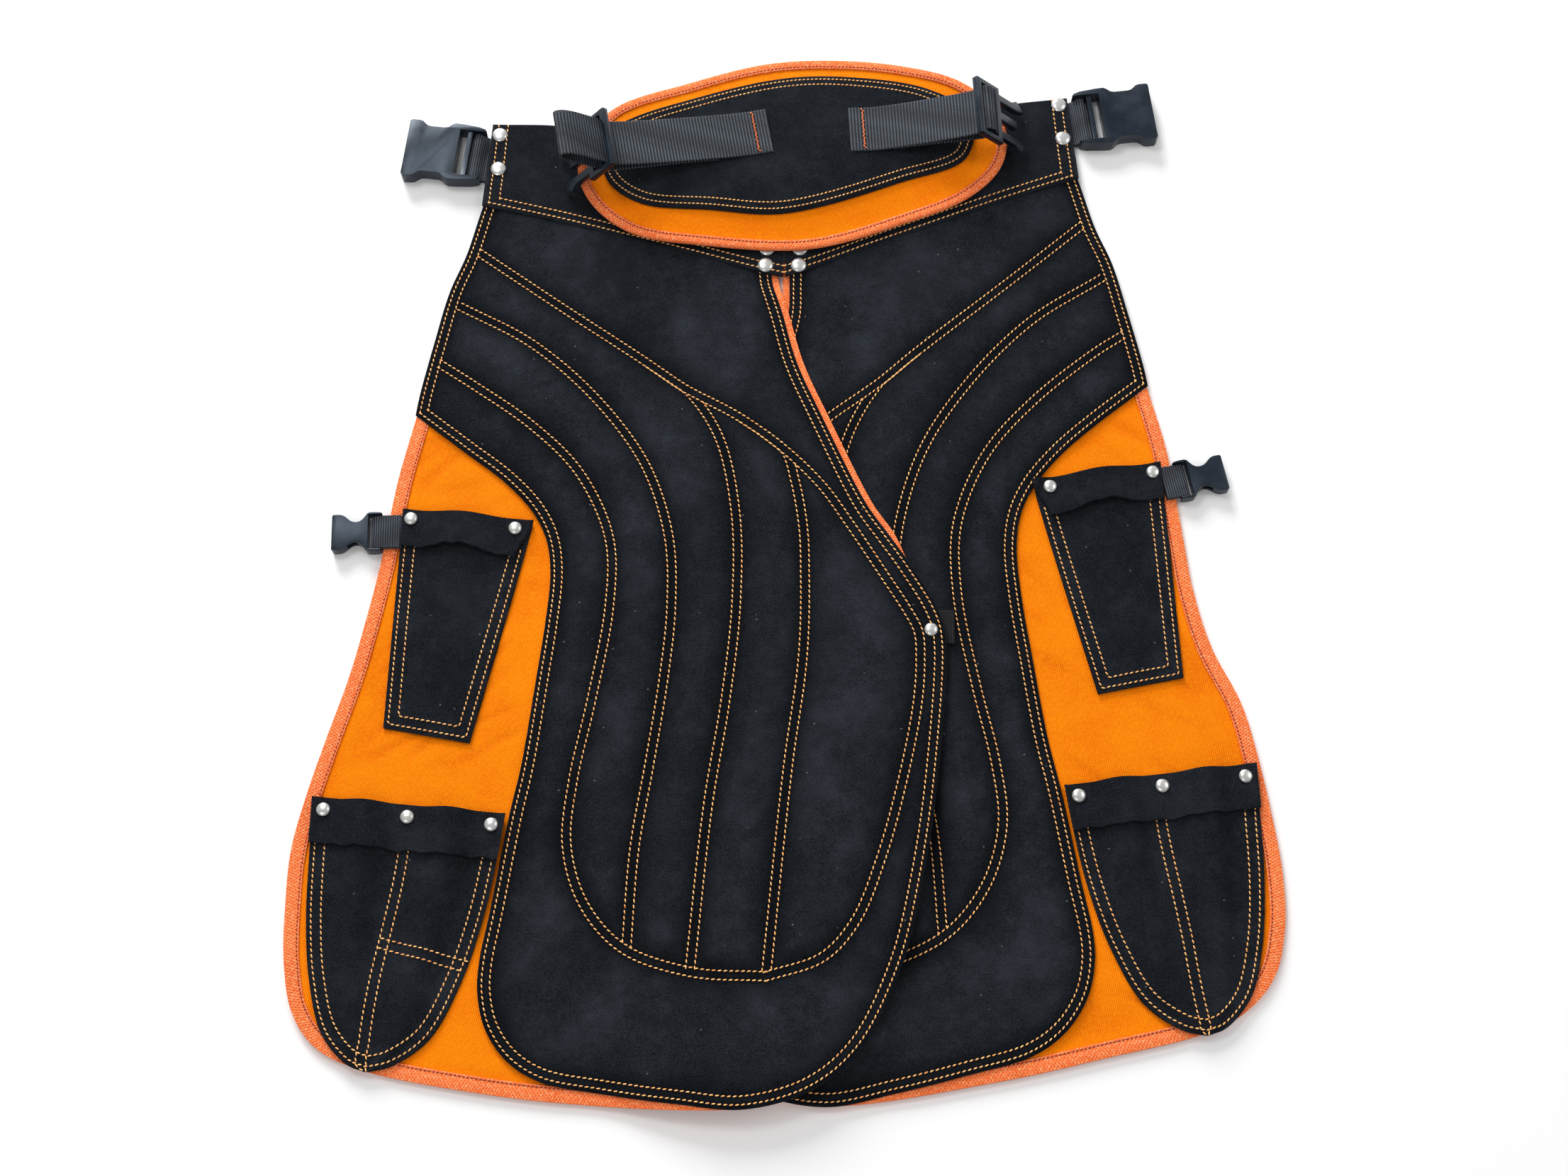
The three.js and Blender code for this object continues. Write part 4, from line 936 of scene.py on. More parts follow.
class RepeatTree:
    """Geometry node trees for what repeats: stitches along lines and rivets on points."""

    @staticmethod
    def start(name: str, sizes: dict) -> tuple:
        """Starts a tree with a geometry input, named sizes and a geometry output."""
        return NodeTree.start("GeometryNodeTree", name, "Geometry", sizes, {"Geometry": "Geometry"})

    @staticmethod
    def close(nodes: NodeTree, points: Value, spread: dict, material: Material, made: Node) -> None:
        """Ends a tree: real geometry on its points, smooth, with its material."""
        mesh = nodes.get("GeometryNodeInstanceOnPoints", 0, {"Points": points, **spread})
        mesh = nodes.get("GeometryNodeRealizeInstances", 0, {0: mesh})
        mesh = nodes.get("GeometryNodeSetShadeSmooth", 0, {0: mesh})
        nodes.wire(made, {0: nodes.get("GeometryNodeSetMaterial", 0, {0: mesh, "Material": material})})

    @classmethod
    def stitches(cls, material: Material) -> Tree:
        """Plump slanted stitches spaced along edge lines."""
        sizes = {"Pitch": 0.0036, "Length": 0.0029, "Width": 0.0011, "Height": 0.0009, "Slant": 0.22}
        tree, nodes, given, made = cls.start("stitches", sizes)
        curve = nodes.get("GeometryNodeMeshToCurve", 0, {0: given["Geometry"]})
        feed = {"Curve": curve, "Length": given["Pitch"]}
        even = nodes.get("GeometryNodeResampleCurve", 0, feed, mode="LENGTH")
        bead = nodes.get("GeometryNodeMeshUVSphere", 0, {"Segments": 6, "Rings": 5, "Radius": 0.5})
        feed = {"X": given["Length"], "Y": given["Width"], "Z": given["Height"]}
        scale = nodes.get("ShaderNodeCombineXYZ", 0, feed)
        turn = nodes.get("ShaderNodeCombineXYZ", 0, {"Z": given["Slant"]})
        shaped = nodes.get("GeometryNodeTransform", 0, {0: bead, "Scale": scale, "Rotation": turn})
        feed = {"Vector": nodes.get("GeometryNodeInputTangent", 0)}
        aim = nodes.get("FunctionNodeAlignEulerToVector", 0, feed, axis="X", pivot_axis="AUTO")
        cls.close(nodes, even, {"Instance": shaped, "Rotation": aim}, material, made)
        return tree

    @classmethod
    def rivets(cls, material: Material) -> Tree:
        """Domed rivet heads with a thin rim, one on each point."""
        tree, nodes, given, made = cls.start("rivets", {"Radius": 0.005, "Rise": 0.0022})
        feed = {"Vertices": 40, "Depth": RIVET_RIM, "Radius": given["Radius"]}
        rim = nodes.get("GeometryNodeMeshCylinder", 0, feed)
        seated = nodes.get("GeometryNodeTransform", 0, {0: rim, "Translation": (0.0, 0.0, RIVET_RIM / 2)})
        dome = nodes.get("GeometryNodeMeshUVSphere", 0, {"Segments": 40, "Rings": 20, "Radius": 1.0})
        wide = given["Radius"] * 0.94
        high = nodes.math("SUBTRACT", given["Rise"], RIVET_SEAT)
        scale = nodes.get("ShaderNodeCombineXYZ", 0, {"X": wide, "Y": wide, "Z": high})
        feed = {0: dome, "Scale": scale, "Translation": (0.0, 0.0, RIVET_SEAT)}
        crowned = nodes.get("GeometryNodeTransform", 0, feed)
        both = nodes.add("GeometryNodeJoinGeometry", {0: seated})
        nodes.wire(both, {0: crowned})
        cls.close(nodes, given["Geometry"], {"Instance": Value(nodes, both.outputs[0])}, material, made)
        return tree

    @staticmethod
    def grow(name: str, seed: bpy.types.Mesh, tree: Tree, **sizes: float) -> Object:
        """Runs a tree on a seed mesh and keeps the result as a plain mesh.

        Args:
            name: the piece's name.
            seed: lines or points in metres.
            tree: the geometry node tree.
            sizes: values of its named inputs, in metres.

        Returns:
            The finished object.
        """
        obj = placed(name, seed)
        modifier = obj.modifiers.new("repeat", "NODES")
        modifier.node_group = tree
        for item in tree.interface.items_tree:
            if item.in_out == "INPUT" and item.name in sizes:
                modifier[item.identifier] = sizes[item.name]
        obj.data = applied(obj, modifier)
        obj.data.name = name
        return obj


@dataclass
class Sewing:
    """Rows of stitches, gathered piece by piece and made at the end of each."""

    tree: Tree

    def sew(self, name: str, slot: str, rows: Sequence, pitch: float = STITCH_PITCH,
            size: float = 1.0) -> Object:
        """Makes the stitches of one piece.

        Args:
            name: the piece's name.
            slot: the record's material slot of the piece that is sewn.
            rows: polylines in plan millimetres, with heights.
            pitch: distance between stitches in millimetres.
            size: width of the thread relative to the usual one.

        Returns:
            The stitches as one object.
        """
        points, edges = [], []
        for row in rows:
            line = LAY.metres(resample(np.asarray(row, float), 1.2))
            start = len(points)
            points += line.tolist()
            edges += [(start + i, start + i + 1) for i in range(len(line) - 1)]
        seed = bpy.data.meshes.new(name)
        seed.from_pydata(points, edges, [])
        obj = RepeatTree.grow(
            name, seed, self.tree, Pitch=pitch * MM, Length=STITCH_FILL * pitch * MM,
            Width=THREAD_WIDTH * size * MM, Height=THREAD_HEIGHT * size * MM)
        return settle(obj, slot)


def settle(obj: Object, slot: str, *nodes: str) -> Object:
    """Puts a piece on the apron.

    Args:
        obj: the piece.
        slot: not used.
        nodes: the CAD nodes that it stands for.

    Returns:
        The same piece.
    """
    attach(obj, "root")
    if nodes:
        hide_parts(*nodes)
    LOG.info("%s: %d faces", obj.name, len(obj.data.polygons))
    return obj


@dataclass
class Leg:
    """One leg: canvas panel, folded tape and quilted suede."""

    side: Side
    wear: Wardrobe
    sewing: Sewing
    reds: Sewing

    def __post_init__(self) -> None:
        """Lays out the paths that the methods share."""
        column = 1 if self.side is Side.LEFT else 2
        inner = [(row[column], row[0]) for row in INNER_EDGE]
        tucked = 1.0 if self.side is Side.RIGHT else 0.0
        hem = [(out - tucked * tuck, up) for out, up, tuck in HEM_EDGE]
        self.tape_path = resample(curve_through(self.side.place([*hem, *inner])), 3.0)
        show = smoothstep(*SHOW_RUN, np.array([row[0] for row in INNER_EDGE]))
        inset = -LEATHER_OVERHANG + (LEATHER_SHOW + LEATHER_OVERHANG) * show
        cut = [(out + more, up) for (out, up), more in zip(inner, inset)]
        self.thigh = resample(curve_through(self.side.place(THIGH_EDGE)), 2.5)
        self.shin = resample(curve_through(self.side.place([*SHIN_EDGE, *cut])), 2.5)
        self.leather_outline = np.vstack([self.thigh[:-1], self.shin])
        self.seams = {
            name: resample(curve_through(self.side.place(knots)), 2.0) for name, knots in SEAMS.items()
        }
        self.inward = 1.0 if self.side is Side.LEFT else -1.0
        edge = np.vstack([self.thigh, self.shin])
        middle = sum(EDGE_ROWS) / 2
        lines = [self.edge_row(self.thigh, middle), self.edge_row(self.shin, middle)]
        self.pressed = np.vstack([resample(line, 1.5) for line in [*self.seams.values(), *lines]])
        self.edge_line = resample(edge, 1.5)
        self.quilt = np.vstack([self.seams["outer"], self.seams["brow"][::-1]])

    def edge_row(self, path: Array, inset: float) -> Array:
        """A line inside the leather's edge, trimmed where it would come closer to another edge."""
        row = path + self.inward * path_normals(path) * inset
        near = distance_to(self.leather_outline, row)
        return row[near > inset - 0.8]

    def climb(self, points: Array) -> Array:
        """How far this leg lies above the floor where it lies on the other one."""
        if self.side is Side.RIGHT:
            return np.zeros(len(points))
        rows = [(-390, -40)] + [(up, right) for up, _, right in INNER_EDGE[1:]] + [(345, 8)]
        x, y = points[:, 0], points[:, 1]
        edge = np.interp(y, [r[0] for r in rows], [r[1] for r in rows])
        across = smoothstep(-CLIMB_WIDTH, 0.0, x - edge)
        lift = sum(high * (1.0 - smoothstep(to, start, y)) for start, to, high in CLIMB)
        return across * lift

    def over_tape(self, points: Array) -> Array:
        """1 on the tape, falling to 0 a few millimetres inside it."""
        return 1.0 - smoothstep(TAPE_WIDTH, TAPE_WIDTH + 6.0, distance_to(self.tape_path, points))

    def over_leather(self, points: Array) -> Array:
        """1 on the suede, falling to 0 a few millimetres outside it."""
        away = distance_to(self.edge_line, points)
        signed = np.where(inside(self.leather_outline, points), -away, away)
        return 1.0 - smoothstep(0.0, 7.0, signed)

    def loft(self, points: Array) -> Array:
        """How far the padding lifts the suede: fully inside the quilting, a little beside it."""
        return np.where(inside(self.quilt, points), QUILT_RISE + 0.4, 1.3)

    def leather_top(self, points: Array) -> Array:
        """Height of the quilted suede: puffed between the seams and pressed along them."""
        away = distance_to(self.pressed, points)
        puff = self.loft(points) * (1.0 - np.exp(-np.maximum(away - ROW_HALF, 0.0) / 9.0))
        ridge = 0.4 * np.clip(1.0 - (away / ROW_HALF) ** 2, 0.0, 1.0)
        lie = waviness(points, LEG_WAVES)
        calm = 1.0 - np.exp(-away / 8.0)
        return LEATHER_TOP + self.climb(points) + puff + ridge + lie * calm

    def leather_bottom(self, points: Array) -> Array:
        """Underside of the suede, raised over the tape."""
        return SEWN_BASE + self.climb(points) + (TAPE + GAP) * self.over_tape(points) * 0.8

    def on_leather(self, row: Array) -> Array:
        """A plan line put on the suede's surface."""
        return np.column_stack([row, self.leather_top(row) + 0.12])

    def suede(self) -> Object:
        """The quilted suede with its stitching."""
        guides = []
        for line in self.seams.values():
            normals = path_normals(line)
            guides += [line + normals * off for off in SEAM_GUIDES]
        edges = (self.thigh, self.shin)
        guides += [self.edge_row(path, inset) for path in edges for inset in EDGE_GUIDES]
        lines = [np.empty((0, 2))]
        taken = np.empty((0, 2))
        for line in guides:
            spaced = resample(line, 3.2)
            if len(taken):
                spaced = spaced[distance_to(taken, spaced) > 1.6]
            taken = np.vstack([taken, spaced])
            lines.append(spaced)
        shape = Slab(self.leather_outline, 4.6, self.leather_top, self.leather_bottom, lines).shape()
        plan = shape.vertices[:, :2]
        # Crown runs from 0 at the pressed seams to 1 on the channel tops; the suede finish paints the tops
        # paler and the seams darker from it, as light and shade
        raised = shape.vertices[:, 2] - LEATHER_TOP - self.climb(plan)
        shape.crown = np.clip(raised / self.loft(plan), 0.0, 1.0)
        piece = shape.piece(f"suede_leg_{self.side.word}", self.wear.suede)
        settle(piece, "suede", f"leg_leather_{self.side.word}")
        rows = []
        for name, line in self.seams.items():
            for sign in (-1.0, 1.0):
                rows.append(self.trim_seam(name, line + sign * ROW_HALF * path_normals(line)))
        rows += [self.edge_row(path, inset) for path in edges for inset in EDGE_ROWS]
        sewn = [self.on_leather(row) for row in rows if len(row) > 3]
        self.sewing.sew(f"leg_stitches_{self.side.word}", "suede", sewn)
        return piece

    def trim_seam(self, name: str, row: Array) -> Array:
        """Keeps a seam row inside the edge rows, and a branch from where it leaves the brow."""
        kept = row[distance_to(self.leather_outline, row) > EDGE_ROWS[1] - 0.5]
        if name in (*BRANCHES, "second"):
            kept = kept[distance_to(resample(self.seams["outer"], 1.0), kept) > ROW_HALF - 0.4]
        if name in BRANCHES:
            stem = resample(self.seams["brow"], 1.0)
            near = np.argmin(((kept[:, None, :] - stem[None, :, :]) ** 2).sum(axis=2), axis=1)
            above = self.inward * ((kept - stem[near]) * path_normals(stem)[near]).sum(axis=1)
            kept = kept[above < 0.3 - ROW_HALF]
        return kept

    def creases(self, points: Array) -> Array:
        """1 in the soft creases that run slantwise over the bare canvas, 0 between them."""
        slant = math.radians(38.0 * self.inward)
        cos, sin = math.cos(slant), math.sin(slant)
        along = points @ np.array([[cos, -sin], [sin, cos]])
        line = np.exp(-(drift(along[:, ::-1], 23.0, 5.1, 3.0) / 0.16) ** 2)
        return line * smoothstep(-0.15, 0.4, drift(points, 52.0, 2.4))

    def canvas_height(self, points: Array) -> Array:
        """Upper face of the canvas, with soft wrinkles where it lies bare."""
        bare = (1.0 - self.over_tape(points)) * (1.0 - self.over_leather(points))
        wrinkle = 1.1 * drift(points, 46.0, 7.3) + 0.4 * drift(points[:, ::-1], 15.0, 2.9, 2.0)
        lie = np.maximum(wrinkle - 1.1 * self.creases(points), -0.6)
        return CANVAS_TOP + self.climb(points) + bare * lie

    def canvas(self) -> Object:
        """The canvas panel."""
        taped = self.tape_path + self.inward * path_normals(self.tape_path) * (TAPE + GAP)
        thigh = self.side.place([(out - CANVAS_INSET, up) for out, up in THIGH_EDGE[:-1]])
        outline = resample(np.vstack([taped, thigh]), 4.0, True)
        slab = Slab(outline, 3.3, self.canvas_height, lambda p: self.canvas_height(p) - CANVAS, (), 0.25,
                    self.over_leather)
        shape = slab.shape()
        # The crown falls in the creases, where the canvas finish paints shade
        shape.crown = EVEN_CROWN * (1.0 - self.creases(shape.vertices[:, :2]))
        piece = shape.piece(f"canvas_panel_{self.side.word}", self.wear.canvas)
        return settle(piece, "canvas", f"leg_canvas_{self.side.word}")

    def tape(self) -> Object:
        """The folded tape round the panel, with its single row of stitches."""
        path = self.tape_path
        normals = self.inward * path_normals(path)
        half, groove = TAPE_TOP / 2, 8.9
        bends = np.linspace(math.pi / 2, -math.pi / 2, 7)
        fold = [(half - half * math.cos(a), half - half * math.sin(a)) for a in bends]
        fold[1:-1] = [(max(0.0, inset - 1.2), level) for inset, level in fold[1:-1]]
        profile = [
            *fold, (4.5, TAPE_TOP + 0.15), (7.4, TAPE_TOP - 0.1), (groove, TAPE_TOP - 0.38),
            (9.8, TAPE_TOP), (TAPE_WIDTH, TAPE_TOP - 0.3), (TAPE_WIDTH, SEWN_BASE), (1.0, SEWN_BASE),
            (1.0, TAPE), (TAPE_WIDTH, TAPE), (TAPE_WIDTH, 0.0),
        ]
        shape = folded_tape(path, normals, lengths(path), profile, (3.3, 0.16), self.climb)
        piece = shape.piece(f"tape_leg_{self.side.word}", self.wear.tape, 70.0)
        settle(piece, "tape", f"leg_binding_{self.side.word}")
        row = path + normals * groove
        sewn = np.column_stack([row, self.climb(row) + TAPE_TOP - 0.2])
        self.reds.sew(f"tape_stitches_{self.side.word}", "tape", [sewn], *TAPE_STITCH)
        return piece

    def build(self) -> None:
        """Makes the leg's pieces."""
        canvas = self.canvas()
        tape = self.tape()
        self.suede()


@dataclass
class Yoke:
    """Waist yoke halves and the tab behind their gap."""

    wear: Wardrobe
    sewing: Sewing
    rows: tuple = (
        (0.8, 248, 0.8, 318), (22, 253, 24, 322), (70, 267, 74, 340), (110, 278, 112, 358),
        (165, 293, 165, 378), (231, 309, 226, 381),
    )
    strip: tuple = (30.0, 14.0, 14.0)
    run: float = 235.0

    def edges(self, side: Side) -> tuple:
        """Lower and upper edge of one half, from the centre out."""
        lower = curve_through(side.place([(row[0], row[1]) for row in self.rows]))
        upper = curve_through(side.place([(row[2], row[3]) for row in self.rows]))
        at = np.linspace(0.0, len(lower) - 1, 120)
        return pick(lower, at), pick(upper, at)

    def height(self, share: Array, across: Array) -> Array:
        """Underside of the yoke at a share along it and a distance up from its lower edge."""
        centre, end, fall = self.strip
        step = centre + (end - centre) * share
        down = smoothstep(0.0, 1.0, (across - step) / fall)
        return YOKE_SEAM_BASE + (YOKE_BASE - YOKE_SEAM_BASE) * down

    def half(self, side: Side) -> Object:
        """One yoke half with its stitching."""
        lower, upper = self.edges(side)
        span = np.linalg.norm(upper - lower, axis=1)
        share = np.linspace(0.0, 1.0, len(lower))
        depth = np.concatenate([[0.0, 0.008], np.linspace(0.03, 0.97, 34), [0.992, 1.0]])
        grid = []
        for v in depth:
            spot = lower + (upper - lower) * v
            grid.append((spot, self.height(share, v * span), waviness(spot, YOKE_WAVES)))
        piece = leather_shell(grid, LEATHER, 0.5).piece(f"suede_yoke_{side.word}", self.wear.suede)
        settle(piece, "suede", f"yoke_{side.word}")
        rows = []
        for inset in EDGE_ROWS:
            spot = lower + (upper - lower) * (inset / span)[:, None]
            spot = spot[share < 1.0 - (inset + 0.6) / self.run]
            rows.append(np.column_stack([spot, np.full(len(spot), YOKE_SEAM_TOP + STITCH_RISE)]))
        for inset in EDGE_ROWS:
            along = 1.0 - (inset + 0.6) / self.run
            foot, head = (pick(line, np.array([along * (len(line) - 1)]))[0] for line in (lower, upper))
            reach = np.linalg.norm(head - foot)
            v = np.linspace(inset / reach, 0.98, 40)
            spot = foot + (head - foot) * v[:, None]
            high = self.height(np.full(len(v), along), v * reach) + LEATHER + STITCH_RISE
            rows.append(np.column_stack([spot, high]))
        self.sewing.sew(f"yoke_stitches_{side.word}", "suede", rows)
        return piece

    def tab(self) -> Object:
        """The tab behind the gap."""
        (left, low), (right, high) = TAB_LOW, TAB_HIGH
        outline = resample(np.array([(left, low), (right, low), (right, high), (left, high)]), 3.0, True)
        base = YOKE_BASE - GAP - WEBBING
        slab = Slab(outline, 5.0, level(base + WEBBING), level(base), (), 0.3)
        piece = settle(slab.shape().piece("suede_tab", self.wear.suede), "suede", "yoke_tab")
        return piece

    def build(self) -> None:
        """Makes both halves and the tab."""
        for side in Side:
            self.half(side)
        self.tab()


@dataclass
class Pocket:
    """A pocket front with its riveted band, standing off the canvas over each bay."""

    stem: str
    band_stem: str
    sections: tuple
    bays: tuple
    band: float
    flare: float
    leg: Leg
    rise: float
    centre_rows: bool
    flat: tuple
    area: float
    dip: float = 0.0
    taper: float = 0.0
    cross_rows: tuple = (((-272.0, -254.5), (-214.5, -269.9)), ((-273.5, -261.0), (-219.5, -276.0)))
    swell: float = 7.0

    def __post_init__(self) -> None:
        """Lays out both side edges."""
        side = self.leg.side
        rows = np.array(self.sections, float) + np.array([0.0, self.rise, 0.0, self.rise])
        self.outer, self.inner = (
            resample(curve_through(side.place(rows[:, k:k + 2])), 1.0) for k in (0, 2)
        )

    def edge(self, line: Array, v: Array) -> Array:
        """Points at shares along one side edge; below 0 they run on past the mouth."""
        spot = pick(line, np.clip(v, 0.0, 1.0) * (len(line) - 1))
        run = (line[0] - line[3]) / np.linalg.norm(line[0] - line[3])
        return spot + np.maximum(-v, 0.0)[:, None] * run * len(line)

    def plan(self, u: Array, v: Array) -> Array:
        """Plan points at shares across and down the front."""
        a, b = self.edge(self.outer, v), self.edge(self.inner, v)
        return a + (b - a) * u[:, None]

    def front(self, u: Array, v: Array) -> Array:
        """Underside of the front: on the layers below at its edges, humped over each bay."""
        spot = self.plan(u, v)
        depth = 1.0 - np.clip(v, 0.0, 1.0) ** 2
        hump = np.zeros(len(u))
        for start, end in self.bays:
            t = np.clip((u - start) / (end - start), 0.0, 1.0)
            hump += 0.5 * (1.0 - np.cos(2.0 * np.pi * t))
        lift = (TAPE + GAP) * self.leg.over_tape(spot) + (LEATHER + GAP) * self.leg.over_leather(spot)
        return SEWN_BASE + self.swell * depth * hump + lift

    def shell(self, us: Array, vs: Array, base: Callable, trim: Callable, name: str,
              node: str) -> Object:
        """A leather shell over shares of the front.

        Args:
            us: shares across.
            vs: shares down.
            base: underside height from u, v and plan points.
            trim: shares across and down of a row, from the even ones.
            name: the piece's name.
            node: the CAD node that it stands for.

        Returns:
            The finished piece.
        """
        grid = []
        for v in vs:
            across, down = trim(us, np.full(len(us), v))
            spot = self.plan(across, down)
            grid.append((spot, base(across, down, spot), waviness(spot, POCKET_WAVES)))
        piece = leather_shell(grid, POCKET_LEATHER, 0.45).piece(name, self.leg.wear.suede)
        return settle(piece, "suede", node)

    @staticmethod
    def shares(count: int, low: float = 0.0, high: float = 1.0) -> Array:
        """Shares with a close first and last step, for a softened edge."""
        near = 0.006 * (high - low)
        return np.concatenate([[low], np.linspace(low + near, high - near, count), [high]])

    def insets(self, inset: float) -> Array:
        """The line that runs down one side, round the foot and up the other, inside the edge."""
        ring = resample(np.vstack([self.outer, self.inner[::-1]]), 1.0)
        sign = -1.0 if self.leg.side is Side.RIGHT else 1.0
        row = ring + sign * path_normals(ring) * inset
        return row[distance_to(resample(ring, 0.4), row) > inset - 0.12]

    def shares_of(self, spots: Array) -> tuple:
        """Shares across and down the front that lie nearest to plan points."""
        u, v = np.meshgrid(np.linspace(0, 1, 60), np.linspace(0, 1, 120))
        table = self.plan(u.ravel(), v.ravel())
        pick = np.array([np.argmin(((table - spot) ** 2).sum(axis=1)) for spot in spots])
        return u.ravel()[pick], v.ravel()[pick]

    def on_front(self, row: Array) -> Array:
        """A plan line put on the front's surface, below the band."""
        u, v = self.shares_of(row)
        return self.raised(row, u, v)[v > self.band * 0.8]

    def raised(self, row: Array, u: Array, v: Array) -> Array:
        """Plan points lifted to stitch height on the front, from their shares across and down."""
        return np.column_stack([row, self.front(u, v) + POCKET_LEATHER + 0.25])

    def build(self) -> None:
        """Makes the front, its band and their stitches."""
        word = self.leg.side.word
        front = self.shell(
            self.shares(64), self.shares(72), lambda u, v, spot: self.front(u, v), lambda u, v: (u, v),
            f"suede_{self.stem}_{word}", f"{self.stem}_{word}")
        across, down = self.shares(64, -0.004, 1.004), self.shares(16, -0.01, self.band)
        strip = self.shell(
            across, down, self.band_base, self.loose_edge, f"suede_{self.band_stem}_{word}",
            f"{self.band_stem}_{word}")
        wide = self.flat[0]
        wide * 1.05
        wide * 0.036
        rows = [self.on_front(resample(self.insets(inset), 1.0)) for inset in POCKET_ROWS]
        if self.centre_rows:
            rows += self.centre_seam()
        self.leg.sewing.sew(f"{self.stem}_stitches_{word}", "suede", rows)

    def band_base(self, u: Array, v: Array, spot: Array) -> Array:
        """Underside of the band, flaring off the front towards its loose lower edge."""
        open_up = self.flare * smoothstep(0.0, self.band, v) * np.sin(np.pi * u) ** 2
        loose = 1.1 * smoothstep(0.3 * self.band, self.band, v) * (0.6 + 0.7 * drift(spot, 22.0, 6.6))
        return self.front(u, v) + POCKET_LEATHER + GAP + open_up + np.maximum(loose, 0.0)

    def loose_edge(self, u: Array, v: Array) -> tuple:
        """Cuts the band's lower edge: shorter between its rivets, with a frayed line."""
        low = smoothstep(0.0, self.band, v)
        fray = 0.05 * drift(np.column_stack([u * 60.0, np.full(len(u), self.rise)]), 5.0, 4.4)
        short = self.dip * np.sin(np.pi * np.clip((u - 0.12) / 0.8, 0.0, 1.0)) ** 2
        return u * (1.0 - self.taper * low), v * (1.0 - low * (short + fray))

    def centre_seam(self) -> list:
        """Twin rows between the two bays, and on the left the rows across one bay."""
        v = np.linspace(self.band * 0.85, 0.975, 90)
        breadth = np.linalg.norm(self.edge(self.inner, v) - self.edge(self.outer, v), axis=1)
        left = self.leg.side is Side.LEFT
        if left:
            away = 0.08 * smoothstep(0.15, 0.85, v) + 0.08 * smoothstep(0.8, 1.0, v)
        else:
            away = 0.03 * smoothstep(0.1, 0.6, v) - 0.03
        rows = []
        for sign in (-1.0, 1.0):
            u = 0.5 - away + sign * np.minimum(3.3 / breadth, 0.12)
            rows.append(self.raised(self.plan(u, v), u, v))
        if left:
            rows += [self.on_front(np.linspace(*line, 40)) for line in self.cross_rows]
        return rows


